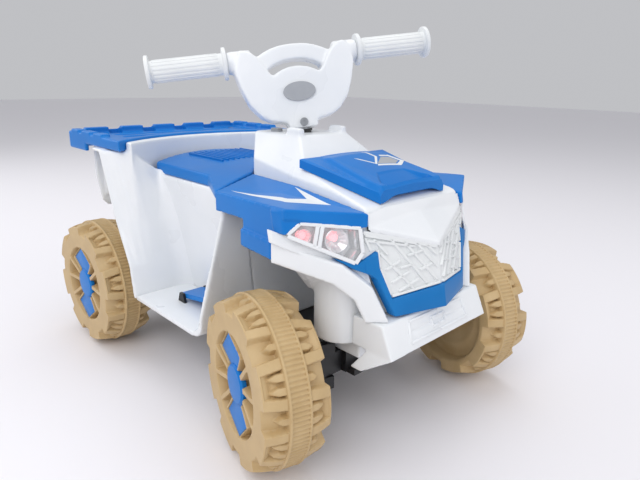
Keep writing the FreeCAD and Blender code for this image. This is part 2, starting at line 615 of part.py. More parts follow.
def make_steering():
    """The handlebar and its grips, the column and the tie rod, at the turn that the rest pose shows."""
    bolt_hole = Part.makeCylinder(v.bolt_diameter / 2 + v.running_clearance, v.stem_width,
                                  Vec(-v.stem_width / 2, 0, -v.bolt_drop), Vec(1, 0, 0))
    bolt_hole.Placement = bar_place(turned=False)
    turn = around_column(-v.bar_turn)
    solid_node("handlebar", handlebar_shape()).Placement = bar_place()
    solid_node("left_grip", grip_shape()).Placement = bar_place()
    solid_node("right_grip", mirrored(grip_shape())).Placement = bar_place()
    solid_node("handlebar_badge", badge_shape()).Placement = bar_place()
    solid_node("handlebar_bolt", bolt_shape()).Placement = bar_place()
    solid_node("steering_column", column_shape().cut(bolt_hole)).Placement = turn
    solid_node("tie_rod", tie_rod_shape()).Placement = FreeCAD.Placement(Vec(0, PIN_SWING, 0),
                                                                         FreeCAD.Rotation())


def column_cylinder(radius, low_z, high_z):
    """A cylinder about the column's axis between two heights."""
    start = along_column(low_z)
    return Part.makeCylinder(radius, (along_column(high_z) - start).Length, start, COLUMN_UP)


BUSH_RADIUS = v.column_diameter / 2 + v.wall


def chassis_shape():
    """The black undertray: floor, front beam, tie-rod guides and rear axle bearings."""
    half = v.chassis_half_width
    floor = plan_prism([(-v.chassis_rear, -half), (v.chassis_front, -half), (v.chassis_front, half),
                        (-v.chassis_rear, half)], v.floor_height, FLOOR_TOP)
    low = v.wheel_radius - v.beam_height / 2
    high = low + v.beam_height
    wide = KINGPIN_Y + v.boss_length / 2
    boss_half = v.boss_length / 2
    parts = [floor]
    parts.append(plan_prism([(AXLE_X - boss_half, -wide), (AXLE_X + boss_half, -wide),
                             (AXLE_X + boss_half, wide),
                             (AXLE_X - boss_half, wide)], low, high))
    beam_half = v.beam_length / 2
    beam_end = KINGPIN_Y - v.boss_length
    parts.append(plan_prism([(AXLE_X - beam_half, -beam_end), (AXLE_X + beam_half, -beam_end),
                             (AXLE_X + beam_half, beam_end), (AXLE_X - beam_half, beam_end)], low, high))
    cuts = []
    for side in (-1, 1):
        cuts.append(Part.makeCylinder(v.kingpin_diameter / 2 + v.running_clearance, v.wheel_radius * 2,
                                      Vec(AXLE_X, side * KINGPIN_Y, 0)))
        parts.append(guide_shape(side))
    bearing_half = v.bearing_length / 2
    for start, end in ((-half, -half + v.bearing_width), (half, v.left_bearing_out)):
        inner = min(start, half - v.bearing_width)
        parts.append(plan_prism([(-AXLE_X - bearing_half, inner), (-AXLE_X + bearing_half, inner),
                                 (-AXLE_X + bearing_half, end), (-AXLE_X - bearing_half, end)],
                                v.floor_height, v.floor_height + v.bearing_height))
    cuts.append(Part.makeCylinder(AXLE_RADIUS + v.running_clearance, v.wheel_track,
                                  Vec(-AXLE_X, -HALF_TRACK, v.wheel_radius), Vec(0, 1, 0)))
    cuts.append(column_cylinder(BUSH_RADIUS + v.running_clearance, v.floor_height - v.overrun * 2,
                                FLOOR_TOP + v.overrun * 2))
    return fused(parts).cut(fused(cuts))


def guide_shape(side):
    """A bracket under the floor that guides the tie rod on one side."""
    x = AXLE_X - v.arm_radius
    near = v.tie_rod_width / 2 + v.slide_clearance
    far = near + v.guide_wall
    low = v.tie_rod_floor - v.slide_clearance
    outline = [(x - far, low - v.guide_wall), (x + far, low - v.guide_wall), (x + far, FLOOR_TOP),
               (x - far, FLOOR_TOP)]
    high = v.tie_rod_floor + v.tie_rod_height + v.slide_clearance
    window = [(x - near, low), (x + near, low), (x + near, high), (x - near, high)]
    start = side * v.guide_position
    end = side * (v.guide_position + v.guide_width)
    return side_prism(outline, start, end).cut(side_prism(window, start, end))


def bush_shape(low_z, high_z):
    """A plain bush round the steering column."""
    outer = column_cylinder(BUSH_RADIUS, low_z, high_z)
    return outer.cut(column_cylinder(v.column_diameter / 2 + v.running_clearance, low_z, high_z))


def make_chassis():
    """The undertray with the kingpins, the column's bushes and the rear axle."""
    solid_node("chassis", chassis_shape())
    upper = bush_shape(v.console_top - v.bush_below, v.console_top + v.bush_above)
    lower = bush_shape(v.floor_height, FLOOR_TOP + v.wall)
    solid_node("column_bushes", Part.makeCompound([lower, upper]))
    reach = "knuckle_lug + seat_gap + beam_height / 2"
    pins = []
    for side, sign in (("left", ""), ("right", "-")):
        pins.append(rod(f"{side}_kingpin", "kingpin_diameter / 2", f"2 * ({reach})",
                        ("wheelbase / 2", f"{sign}kingpin_track / 2", f"wheel_radius - ({reach})"), "z"))
    pair = doc.addObject("Part::Compound", "kingpin_pair")
    pair.Links = pins
    node(pair, "kingpins")
    end = HALF_TRACK + NUT_SEAT + v.nut_height + AXLE_RADIUS / 2
    along = Vec(0, 1, 0)
    axle = Part.makeCylinder(AXLE_RADIUS, 2 * end, Vec(-AXLE_X, -end, v.wheel_radius), along)
    collar_end = HALF_TRACK - HALF_WHEEL + v.hex_pocket_depth - v.seat_gap
    collar = Part.makeCylinder(v.axle_diameter, collar_end - v.left_bearing_out,
                               Vec(-AXLE_X, v.left_bearing_out, v.wheel_radius), along)
    solid_node("rear_axle", fused([axle, collar]))
    nuts = []
    for side in (-1, 1):
        nut = nut_shape()
        nut.Placement = wheel_place(side, -1)
        nuts.append(nut)
    solid_node("rear_axle_nuts", Part.makeCompound(nuts))


def centre_body_shape():
    """The white tunnel under the seat: two leaning walls, a top and two ends, open below."""
    low = FLOOR_TOP

    def tunnel(inset, floor):
        outline = [(-v.tunnel_low_half + inset, floor), (v.tunnel_low_half - inset, floor),
                   (v.tunnel_top_half - inset, v.tunnel_top - inset),
                   (-v.tunnel_top_half + inset, v.tunnel_top - inset)]
        return front_prism(outline, -TUNNEL_REAR + inset, v.tunnel_front - inset)

    return tunnel(0, low).cut(tunnel(v.wall, low - v.overrun))


def footwell_shape():
    """The left footwell: a floor with a leg shield that rises at its front."""
    low = v.well_floor - v.well_floor_wall
    wall = v.well_floor_wall
    rear = v.seat_gap - ARCH_LOW_X
    path = [(rear, low), (SHIELD_LOW_X, low), (SHIELD_TOP_X, v.shield_top),
            (SHIELD_TOP_X - wall, v.shield_top),
            (SHIELD_LOW_X - wall, v.well_floor), (rear, v.well_floor)]
    strip = side_prism(path, v.tunnel_low_half, v.well_outer)
    strip = round_edges_at(strip, Vec(0, 1, 0), SHIELD_LOW_X, v.well_corner)
    outer = [(v.tunnel_low_half + v.seat_gap, FLOOR_TOP), (v.well_outer, FLOOR_TOP),
             (v.well_outer, v.well_floor + v.shield_bend),
             (v.shield_top_half, v.shield_top), (v.shield_top_half, v.shield_top + v.overrun),
             (v.tunnel_top_half + v.seat_gap, v.shield_top + v.overrun),
             (v.tunnel_top_half + v.seat_gap, v.tunnel_top)]
    return strip.common(front_prism(outer, -v.wheelbase, v.wheelbase))


def round_edges_at(shape, direction, x, radius):
    """Rounds the edges along a direction that lie near a place along the vehicle."""
    edges = [e for e in shape.Edges if is_along(e, direction) and abs(e.CenterOfMass.x - x) < radius
             and e.CenterOfMass.z < v.well_floor + v.running_clearance]
    return shape.makeFillet(radius, edges)


def make_middle():
    """The tunnel and both footwells."""
    solid_node("center_body", centre_body_shape())
    solid_node("left_footwell", footwell_shape())
    solid_node("right_footwell", mirrored(footwell_shape()))


def back_arc(inset, low_z, high_z):
    """The wide cylinder, about a point ahead of the seat, whose rear side the backrest follows."""
    sag = BACK_CENTRE_X - BACK_END_X
    radius = (v.back_end_half ** 2 + sag ** 2) / (2 * sag)
    centre = Vec(radius - BACK_CENTRE_X, 0, low_z)
    return Part.makeCylinder(radius - inset, high_z - low_z, centre)


def tail_shape():
    """The white tail: wheel arches, deck, rear skirt, inner walls and the curved backrest."""
    wall = v.shell
    half = v.tail_half_width
    low = v.well_floor - v.well_floor_wall
    path = [(-ARCH_LOW_X, low), (-ARCH_KNEE_X, v.arch_knee_z), (-ARCH_MID_X, v.arch_mid_z),
            (-ARCH_TOP_X, v.tail_top), (-TAIL_REAR, v.tail_top),
            (-TAIL_REAR - wall, v.tail_skirt), (-TAIL_REAR, v.tail_skirt),
            (-TAIL_REAR + wall, v.tail_top - wall),
            (-ARCH_TOP_X - wall, v.tail_top - wall), (-ARCH_MID_X - wall, v.arch_mid_z),
            (-ARCH_KNEE_X - wall, v.arch_knee_z), (-ARCH_LOW_X - wall, low)]
    strip = side_prism(path, -half, half)
    low_half = v.tunnel_low_half + v.seat_gap
    top_half = v.tunnel_top_half + v.seat_gap
    middle = front_prism([(-low_half, low - v.overrun), (-low_half, FLOOR_TOP), (-top_half, v.tunnel_top),
                          (top_half, v.tunnel_top), (low_half, FLOOR_TOP), (low_half, low - v.overrun)],
                         -ARCH_MID_X - v.shell * 2, 0)
    inside = [(-ARCH_KNEE_X - wall / 2, v.tail_inner_low), (-ARCH_MID_X - wall / 2, v.arch_mid_z),
              (-ARCH_TOP_X - wall / 2, v.tail_top - wall / 2), (-TAIL_REAR, v.tail_top - wall / 2),
              (-TAIL_REAR - wall / 2, v.tail_skirt), (-TAIL_REAR + v.bearing_length, v.tail_inner_low)]
    walls = []
    for side in (-1, 1):
        outer = side * v.tail_inner_half
        walls.append(side_prism(inside, outer, outer - side * wall))
    rear = -BACK_CENTRE_X - v.back_depth
    front = v.overrun - BACK_END_X
    band_half = v.back_band_half
    ends = [(rear, -band_half), (front, -band_half), (front, band_half), (rear, band_half)]
    fill = plan_prism(ends, v.back_low, v.tail_top).cut(back_arc(0, v.back_low, v.tail_top))
    band = plan_prism(ends, v.tail_top, v.back_top)
    band = band.common(back_arc(-v.back_band, v.tail_top, v.back_top)).cut(back_arc(0, v.tail_top,
                                                                                    v.back_top))
    narrow = -FENDER_END_X - v.tail_half_width + v.tail_back_half
    plan = both_halves([(-RACK_REAR, 0), (-RACK_REAR, v.tail_back_half), (narrow, v.tail_back_half),
                        (-FENDER_END_X, half), (0, half)])
    strip = strip.cut(middle).cut(back_arc(0, v.back_low, v.back_top)).common(plan_prism(plan, 0, v.back_top))
    hub_hole = Part.makeCylinder(v.hub_wall_hole, v.wheel_track, Vec(-AXLE_X, -HALF_TRACK, v.wheel_radius),
                                 Vec(0, 1, 0))
    return fused([strip, fill.common(plan_prism(plan, 0, v.back_top)), band] + walls).cut(hub_hole)


# Places of the rack's screws, as shares of its rear reach and half width
RACK_SCREW_SHARES = ((0.62, 0.78), (0.62, -0.78), (0.9, 0.78), (0.9, -0.78))


def rack_screw_places():
    """Where the rack's screw heads sit, sunk flush with its deck."""
    seat = v.tail_top + v.rack_thickness - v.screw_head_height
    return [Vec(-RACK_REAR * x, v.rack_half_width * y, seat) for x, y in RACK_SCREW_SHARES]


def rack_outline(inset, low_z, high_z):
    """The rack seen from above: a curved front behind the backrest and square rear corners."""
    half = v.rack_half_width - inset
    rear = inset - RACK_REAR
    plate = plan_prism([(rear, -half), (-BACK_END_X, -half), (-BACK_END_X, half), (rear, half)], low_z,
                       high_z)
    return plate.cut(back_arc(-inset - v.back_band - v.seat_gap, low_z, high_z))


def rack_shape():
    """The blue rear rack: a plate with a raised rim, a lip below its outer edges and slots across it."""
    low = v.tail_top
    deck = low + v.rack_thickness
    high = deck + v.rack_rim
    slots = [rack_outline(v.rack_rim_width, deck, high)]
    for index in range(int(v.rack_slot_count)):
        x = -RACK_SLOT_FRONT - index * v.rack_slot_pitch
        end = x - v.rack_slot_width
        half = v.rack_slot_half
        slots.append(plan_prism([(x, -half), (x, half), (end, half), (end, -half)],
                                low + v.rack_thickness / 2, high))
    for place in rack_screw_places():
        slots.append(Part.makeCylinder(v.screw_head_radius + v.seat_gap, v.screw_head_height + v.rack_rim,
                                       place))
    wall = v.skirt_wall
    lip_front = -FENDER_END_X - v.tail_half_width + v.tail_back_half
    lip = rack_outline(0, low - v.rack_lip, low).cut(rack_outline(wall, low - v.rack_lip, low))
    lip = lip.common(plan_prism([(-RACK_REAR, -v.rack_half_width), (lip_front, -v.rack_half_width),
                                 (lip_front, v.rack_half_width), (-RACK_REAR, v.rack_half_width)],
                                low - v.rack_lip, low))
    return fused([rack_outline(0, low, high).cut(fused(slots)), lip])


def seat_shape():
    """The blue seat: a crowned pad that flares beside the console up to the front fenders."""
    plan = both_halves([(-v.wheelbase / 2, 0), (-v.wheelbase / 2, v.seat_half_width), (0, v.seat_half_width),
                        (v.seat_flare_x, v.seat_flare_half), (v.seat_join_x, v.seat_join_half)]
                        + console_plan_rear())
    outline = plan_prism(plan, v.seat_low, v.seat_crown * 2)
    edge_z = v.seat_low + v.seat_edge
    half = v.seat_flare_half + v.overrun
    arc = Part.Arc(Vec(0, -half, edge_z), Vec(0, 0, v.seat_crown), Vec(0, half, edge_z)).toShape()
    low = Part.makePolygon([Vec(0, half, edge_z), Vec(0, half, v.seat_low), Vec(0, -half, v.seat_low),
                            Vec(0, -half, edge_z)])
    crown = Part.Face(Part.Wire([arc] + low.Edges))
    crown.translate(Vec(-v.wheelbase, 0, 0))
    crown = crown.extrude(Vec(2 * v.wheelbase, 0, 0))
    return outline.common(crown).common(back_arc(v.seat_rear_inset, v.seat_low, v.seat_crown * 2))


def console_plan_rear():
    """The rear point of the console, as the seat meets it."""
    gap = v.seat_gap
    return [(v.console_rear - gap, v.console_half / 2), (-v.console_rear - gap, 0)]


def make_tail():
    """The tail, the rear rack with its screws, and the seat."""
    solid_node("tail_body", tail_shape())
    solid_node("rear_rack", rack_shape())
    solid_node("seat", seat_shape())
    heads = [Part.makeCylinder(v.screw_head_radius, v.screw_head_height, place)
             for place in rack_screw_places()]
    solid_node("rack_screws", Part.makeCompound(heads))


def console_solid(inset, floor):
    """The console's block, or its hollow where an inset is given."""
    side = [(-v.console_rear + inset, floor), (-v.console_rear + inset, v.console_shoulder - inset),
            (v.console_rise_x + inset, v.console_top - inset),
            (v.console_fall_x - inset, v.console_top - inset),
            (v.hood_rear_x - inset, v.hood_rear_low - inset),
            (v.hood_front_x - inset, v.hood_front_low - inset),
            (v.console_nose_x - inset, v.fender_tip_top - inset), (v.console_nose_x - inset, floor)]
    plan = both_halves([(-v.console_rear + inset, 0), (v.console_rear, v.console_half / 2 - inset),
                        (v.console_neck_x, v.console_neck_half - inset),
                        (v.hood_rear_x, v.console_half - inset),
                        (v.console_nose_x - inset, v.console_front_half - inset)])
    wide = v.console_front_half - inset
    roof = [(-wide, floor), (-wide, v.console_shoulder - inset),
            (-v.console_top_half + inset, v.console_top - inset),
            (v.console_top_half - inset, v.console_top - inset), (wide, v.console_shoulder - inset),
            (wide, floor)]
    shape = side_prism(side, -wide, wide).common(plan_prism(plan, floor, v.console_top))
    return shape.common(front_prism(roof, -v.console_rear, v.console_nose_x))


def make_console():
    """The white console round the column, with the direction rocker and the power button."""
    shell = console_solid(0, v.console_low).cut(console_solid(v.wall, v.console_low - v.overrun))
    top = v.console_top
    ear_x = v.console_fall_x - v.ear_length
    ears = []
    for side in (-1, 1):
        near = side * (v.console_top_half - v.ear_width)
        ears.append(plan_prism([(ear_x, near), (ear_x + v.ear_length, near),
                                (ear_x + v.ear_length, near + side * v.ear_width),
                                (ear_x, near + side * v.ear_width)],
                               top, top + v.ear_height))
    switch_x = v.console_rise_x + v.rocker_length
    swing = v.rocker_length / 2 + v.pin_clearance
    wide = v.rocker_width / 2 + v.seat_gap
    rocker_hole = plan_prism([(switch_x - swing, v.switch_spacing - wide),
                              (switch_x + swing, v.switch_spacing - wide),
                              (switch_x + swing, v.switch_spacing + wide),
                              (switch_x - swing, v.switch_spacing + wide)],
                             top - v.rocker_height, top + v.overrun)
    button_hole = Part.makeCylinder(v.button_radius + v.seat_gap, v.rocker_height,
                                    Vec(switch_x, -v.switch_spacing, top - v.rocker_height / 2))
    bush_hole = column_cylinder(BUSH_RADIUS + v.running_clearance, top - v.bush_hole_reach,
                                top + v.bush_hole_reach)
    solid_node("console", fused([shell] + ears).cut(fused([rocker_hole, button_hole, bush_hole])))
    half = v.rocker_length / 2
    low = top - v.rocker_height / 2
    high = top + v.rocker_rise
    profile = [(switch_x - half, low), (switch_x + half, low), (switch_x + half, high), (switch_x, top),
               (switch_x - half, high)]
    solid_node("direction_rocker", side_prism(profile, v.switch_spacing - v.rocker_width / 2,
                                              v.switch_spacing + v.rocker_width / 2))
    button = rod("power_button", "button_radius", "button_height",
                 ("console_rise_x + rocker_length", "-switch_spacing", "console_top - button_height / 2"),
                 "z")
    node(button, "power_button")


def hood_shape():
    """The blue hood: a sloping cover that narrows to the front."""

    def ring(x, half, low, thick):
        crown = low + thick
        shoulder = half * HOOD_SHOULDER_SHARE
        return [Vec(x, -half, low), Vec(x, half, low), Vec(x, shoulder, crown),
                Vec(x, 0, crown + thick * HOOD_CROWN_SHARE),
                Vec(x, -shoulder, crown)]

    return ring_solid([ring(v.hood_rear_x, v.hood_rear_half, v.hood_rear_low, v.hood_rear_thickness),
                       ring(v.hood_front_x, v.hood_front_half, v.hood_front_low, v.hood_front_thickness)])


HOOD_SHOULDER_SHARE = 0.93
HOOD_CROWN_SHARE = 0.17


def fender_shape():
    """The left front fender: a sloping top with a skirt outside and a block below its front half."""
    gap = v.seat_gap
    plan = [(v.fender_rear_x, v.fender_rear_half), (v.fender_front_x, v.fender_front_half),
            (v.fender_tip_x, v.fender_tip_half), (v.hood_rear_x, v.console_half + gap),
            (v.console_neck_x, v.console_neck_half + gap * 2)]
    lows = [v.fender_low, v.fender_front_low, v.fender_low, v.fender_low, v.fender_low]
    tops = [v.fender_rear_top, v.fender_front_top, v.fender_tip_top, v.console_shoulder, v.console_shoulder]
    slab = ring_solid([[Vec(x, y, z) for (x, y), z in zip(plan, lows)],
                       [Vec(x, y, z) for (x, y), z in zip(plan, tops)]])
    wall = v.skirt_wall

    def outer_y(x):
        share = (x - v.fender_rear_x) / (v.fender_front_x - v.fender_rear_x)
        return v.fender_rear_half + share * (v.fender_front_half - v.fender_rear_half)

    front_share = (v.block_front_x - v.fender_rear_x) / (v.fender_front_x - v.fender_rear_x)
    skirt_front = v.fender_rear_top + front_share * (v.fender_front_top - v.fender_rear_top)

    def skirt_ring(drop):
        return [Vec(v.fender_rear_x, v.fender_rear_half, v.fender_rear_top - drop),
                Vec(v.block_front_x, outer_y(v.block_front_x), skirt_front - drop),
                Vec(v.block_front_x, outer_y(v.block_front_x) - wall, skirt_front - drop),
                Vec(v.fender_rear_x, v.fender_rear_half - wall, v.fender_rear_top - drop)]

    skirt = ring_solid([skirt_ring(v.skirt_drop), skirt_ring(wall)])

    rear_y = outer_y(v.block_rear_x) + v.block_proud
    front_y = outer_y(v.block_front_x) + v.block_proud
    step = plan_prism([(v.block_rear_x, rear_y), (v.block_front_x, front_y),
                       (v.block_front_x, front_y - v.block_depth),
                       (v.block_rear_x, rear_y - v.block_depth)], v.block_low, v.block_low + v.block_height)
    step_top = ring_solid([[Vec(v.block_rear_x, rear_y - v.block_proud, v.block_low),
                            Vec(v.block_front_x, front_y - v.block_proud, v.block_low),
                            Vec(v.block_front_x, front_y - v.block_depth, v.block_low),
                            Vec(v.block_rear_x, rear_y - v.block_depth, v.block_low)],
                           [Vec(v.block_rear_x, rear_y - v.block_proud, v.fender_low + wall),
                            Vec(v.block_front_x, front_y - v.block_proud, v.fender_low + wall),
                            Vec(v.block_front_x, front_y - v.block_depth, v.fender_low + wall),
                            Vec(v.block_rear_x, rear_y - v.block_depth, v.fender_low + wall)]])
    return fused([slab, skirt, step, step_top] + fender_apron())


def fender_apron():
    """The left fender's front face, which comes down to the head lamp's top edge."""
    gap = v.seat_gap
    root = v.fender_low + v.skirt_wall
    inner = [(v.fender_tip_half, v.lamp_inner_top + gap), (v.lamp_inner_half, v.lamp_inner_top + gap),
             (v.lamp_inner_half, root), (v.fender_tip_half, root)]
    outer = [(v.lamp_inner_half, v.lamp_inner_top + gap), (v.lamp_peak_half, v.lamp_peak_z + gap),
             (v.lamp_outer_half, v.lamp_outer_z + gap), (v.fender_front_half, v.lamp_outer_z + gap),
             (v.fender_front_half, v.fender_front_low + v.skirt_wall), (v.lamp_inner_half, root)]
    return [fascia_slab(face, -v.apron_proud, v.apron_depth)[0] for face in (inner, outer)]


def fascia_x(y, z, depth=0):
    """The swept and leaning front face of the nose, or a plane some depth behind it."""
    wide = max(abs(y) - v.lamp_inner_half, 0)
    sweep = v.prow_sweep * (abs(y) - wide) + v.lamp_sweep * wide
    return v.prow_x + v.prow_lean * (v.prow_z - z) - sweep - depth


def fascia_slab(half_outline, front, back):
    """Plates on the nose's face between two depths, from (y, z) points of the left half and mirrored."""
    halves = []
    for side in (1, -1):
        points = [Vec(fascia_x(y, z, front), side * y, z) for y, z in half_outline]
        halves.append(prism(points, Vec(front - back, 0, 0)))
    return halves


def brow_z(y, drop):
    """The height of the nose shield's front edge, less a drop."""
    return v.prow_z + (v.brow_z - v.prow_z) * abs(y) / v.brow_half - drop


def make_nose():
    """The front: tower, shield, grille, trim, bumper and bumper arms."""
    top = v.shield_wall + v.seat_gap
    core = [(0, v.trim_low), (v.trim_low_half, v.trim_low), (v.grille_low_half, v.grille_low),
            (v.grille_half, v.grille_knee_z), (v.grille_half, brow_z(v.grille_half, top)),
            (0, brow_z(0, top))]
    core_back = v.prow_x - v.tower_front
    prow = fused([h for h in fascia_slab(core, v.trim_depth, core_back)])
    root = v.tower_half - v.wall
    link = [(root, v.lamp_inner_low), (root, v.lamp_inner_top), (v.lamp_inner_half, v.lamp_inner_top),
            (v.lamp_inner_half, v.lamp_inner_low)]
    wing = [(v.lamp_inner_half, v.lamp_inner_low), (v.lamp_inner_half, v.lamp_inner_top),
            (v.lamp_peak_half, v.lamp_inner_top), (v.lamp_peak_half, v.lamp_outer_z - v.lamp_depth / 2),
            (v.lamp_heel_half, v.lamp_inner_low)]
    wing_depth = v.lamp_depth + v.lens_wall
    wings = fascia_slab(link, wing_depth, wing_depth + v.wall) + fascia_slab(wing, wing_depth,
                                                                             wing_depth + v.wall)
    low = v.wheel_radius + v.beam_height / 2
    half = v.tower_half

    def box(inset, floor):
        return plan_prism([(v.tower_rear + inset, -half + inset), (v.tower_front - inset, -half + inset),
                           (v.tower_front - inset, half - inset), (v.tower_rear + inset, half - inset)],
                          floor, v.console_low)

    tower = box(0, low).cut(box(v.wall, low + v.wall))
    prow = prow.common(plan_prism([(v.tower_front, -half), (v.prow_x * 2, -half), (v.prow_x * 2, half),
                                   (v.tower_front, half)], 0, v.console_low))
    legs = []
    for side in (1, -1):
        foot = Vec((v.tower_rear + v.tower_front) / 2, side * v.leg_half, v.leg_low)
        legs.append(Part.makeCylinder(v.leg_radius, v.flare_high - v.leg_low, foot))

    def flare_ring(wide, z):
        plan = both_halves([(v.tower_rear, wide), (v.flare_front, wide), (v.tower_front, half)])
        return [Vec(x, y, z) for x, y in plan]

    inner = box(v.wall, low + v.wall)
    legs.append(ring_solid([flare_ring(v.flare_low_half, v.flare_low),
                            flare_ring(v.flare_half, v.flare_low + v.flare_rise),
                            flare_ring(v.flare_half, v.flare_high)]))
    solid_node("nose_tower", fused([tower, prow] + wings + [leg.cut(inner) for leg in legs]))
    edge = v.console_nose_x + v.seat_gap
    brow_x = fascia_x(v.brow_half, v.brow_z)
    left = [Vec(edge, v.hood_front_half, v.hood_front_low), Vec(edge, v.console_front_half, v.fender_tip_top),
            Vec(brow_x, v.brow_half, v.brow_z)]
    loop = left + [Vec(v.prow_x, 0, v.prow_z)] + list(reversed(mirror_points(left)))
    below = [p - Vec(0, 0, v.shield_wall) for p in loop]
    solid_node("nose_shield", ring_solid([below, loop]))
    gap = v.seat_gap
    side = v.lamp_inner_half - gap
    grille = [(0, v.grille_middle_low), (v.grille_low_half, v.grille_low), (v.grille_half, v.grille_knee_z),
              (v.grille_half, v.trim_peak_z + gap), (side, v.trim_wing_top + gap),
              (side, brow_z(v.brow_half, top)), (0, brow_z(0, top))]
    solid_node("grille_panel", fused(fascia_slab(grille, v.grille_recess, v.trim_depth)))
    trim = [(0, v.trim_low), (v.trim_low_half, v.trim_low), (v.trim_knee_half, v.trim_knee_z),
            (side, v.trim_wing_low), (side, v.trim_wing_top), (v.grille_half + gap, v.trim_peak_z),
            (v.grille_half + gap, v.grille_knee_z), (v.grille_low_half + gap, v.grille_low - gap),
            (0, v.grille_middle_low - gap)]
    solid_node("grille_trim", fused(fascia_slab(trim, 0, v.trim_depth)))
    solid_node("front_bumper", bumper_shape())
    arm = arm_shape()
    solid_node("bumper_arms", Part.makeCompound([arm, mirrored(arm)]))


def bumper_shape():
    """The white bumper bar with a recessed middle and a skid tail under each end."""
    back = v.tower_front
    outline = [(back, v.bumper_low), (v.bumper_low_x, v.bumper_low), (v.bumper_top_x, v.bumper_top),
               (back, v.bumper_top)]
    bar = side_prism(outline, -v.bumper_half, v.bumper_half)
    lean = v.bumper_low_x - v.bumper_top_x
    middle = (v.bumper_low + v.bumper_top) / 2
    recess = [(v.bumper_low_x, v.bumper_low + lean), (v.bumper_low_x - v.bumper_recess - lean / 2, middle),
              (v.bumper_low_x, v.bumper_top - lean / 2)]
    shapes = [bar.cut(side_prism(recess, -v.bumper_recess_half, v.bumper_recess_half))]
    for side in (1, -1):
        outer = v.bumper_half
        inner = outer - v.bumper_tail_width
        high = [(v.bumper_tail_x, inner), (v.bumper_low_x, inner), (v.bumper_low_x, outer),
                (v.bumper_tail_x, outer)]
        narrow = v.bumper_tail_width / 2
        low = [(v.bumper_tail_x - lean, v.bumper_tail_half - narrow),
               (v.bumper_tail_x, v.bumper_tail_half - narrow),
               (v.bumper_tail_x, v.bumper_tail_half), (v.bumper_tail_x - lean, v.bumper_tail_half)]
        shapes.append(ring_solid([[Vec(x, side * y, v.bumper_tail_z) for x, y in low],
                                  [Vec(x, side * y, v.bumper_low) for x, y in high]]))
    return fused(shapes)


def arm_shape():
    """The left bumper arm: a bar of one section from the fender's block, round the lamp, to the bumper."""
    path = [Vec(v.block_front_x, v.arm_end_half, v.arm_end_z)]
    for y, z in ((v.arm_knee_half, v.arm_knee_z), (v.arm_turn_half, v.arm_turn_z),
                 (v.arm_foot_half, v.bumper_top)):
        path.append(Vec(fascia_x(y, z, v.arm_depth / 2), y, z))
    path[0] += (path[0] - path[1]).normalize() * v.arm_height
    path[-1] += (path[-1] - path[-2]).normalize() * v.arm_height
    rings = []
    for index, place in enumerate(path):
        run = path[min(index + 1, len(path) - 1)] - path[max(index - 1, 0)]
        deep = run.cross(Vec(0, 0, 1)).normalize() * (v.arm_depth / 2)
        rise = deep.cross(run).normalize() * (v.arm_height / 2)
        rings.append([place - deep - rise, place + deep - rise, place + deep + rise, place - deep + rise])
    start = v.block_front_x + v.seat_gap
    room = plan_prism([(start, 0), (v.bumper_low_x, 0), (v.bumper_low_x, HALF_TRACK), (start, HALF_TRACK)],
                      v.bumper_top, v.console_low)
    return ring_solid(rings).common(room)


def make_lamps():
    """Both head lamps: a cupped housing, two lamps inside it and a clear lens in front."""
    outline = [(v.lamp_outer_half, v.lamp_outer_z), (v.lamp_peak_half, v.lamp_peak_z),
               (v.lamp_inner_half, v.lamp_inner_top),
               (v.lamp_inner_half, v.lamp_inner_low), (v.lamp_heel_half, v.lamp_heel_z)]
    mid_y = sum(y for y, z in outline) / len(outline)
    mid_z = sum(z for y, z in outline) / len(outline)
    inner = [(mid_y + (y - mid_y) * LAMP_CUP_SHARE, mid_z + (z - mid_z) * LAMP_CUP_SHARE) for y, z in outline]
    back = v.lens_wall + v.lamp_depth
    lenses = fascia_slab(outline, 0, v.lens_wall)
    cups = []
    lamps = []
    for outer, hollow in zip(fascia_slab(outline, v.lens_wall, back),
                             fascia_slab(inner, 0, back - v.lamp_wall)):
        cups.append(outer.cut(hollow))
    near_z = (v.lamp_inner_top + v.lamp_inner_low) / 2
    for side in (1, -1):
        for share in LED_SHARES:
            y = v.lamp_inner_half + share * (v.lamp_outer_half - v.lamp_inner_half)
            z = near_z + share * (v.lamp_outer_z - near_z)
            x = fascia_x(y, z, back - v.lamp_wall)
            lamps.append(Part.makeCylinder(v.led_radius, v.led_length, Vec(x, side * y, z), Vec(1, 0, 0)))
    solid_node("lamp_lenses", Part.makeCompound(lenses))
    solid_node("lamp_housings", Part.makeCompound([c.cut(Part.makeCompound(lamps)) for c in cups]))
    solid_node("lamp_leds", Part.makeCompound(lamps))


LAMP_CUP_SHARE = 0.84
# Places of the two lamps along a housing, as shares of the way from its inner to its outer end
LED_SHARES = (0.3, 0.717)


def gear_outline(teeth, module, phase):
    """A toothed outline with narrow teeth, so that a pair runs with backlash."""
    root = module * (teeth / 2 - TOOTH_ROOT_SHARE)
    tip = module * (teeth / 2 + TOOTH_TIP_SHARE)
    pitch = 2 * math.pi / teeth
    points = []
    for index in range(int(teeth)):
        middle = phase + index * pitch
        for radius, share in ((root, -ROOT_WIDTH_SHARE), (tip, -TIP_WIDTH_SHARE), (tip, TIP_WIDTH_SHARE),
                              (root, ROOT_WIDTH_SHARE)):
            angle = middle + share * pitch
            points.append((radius * math.cos(angle), radius * math.sin(angle)))
    return points


# A tooth's height as shares of the module, and its half widths as shares of the pitch
TOOTH_ROOT_SHARE = 1.3
TOOTH_TIP_SHARE = 0.85
ROOT_WIDTH_SHARE = 0.26
TIP_WIDTH_SHARE = 0.09


def mesh_phase(angle, phase, teeth, next_teeth):
    """The phase of the next gear of a pair, whose centre lies at an angle from the first gear's."""
    return angle + math.pi + math.pi / next_teeth + (angle - phase) * teeth / next_teeth


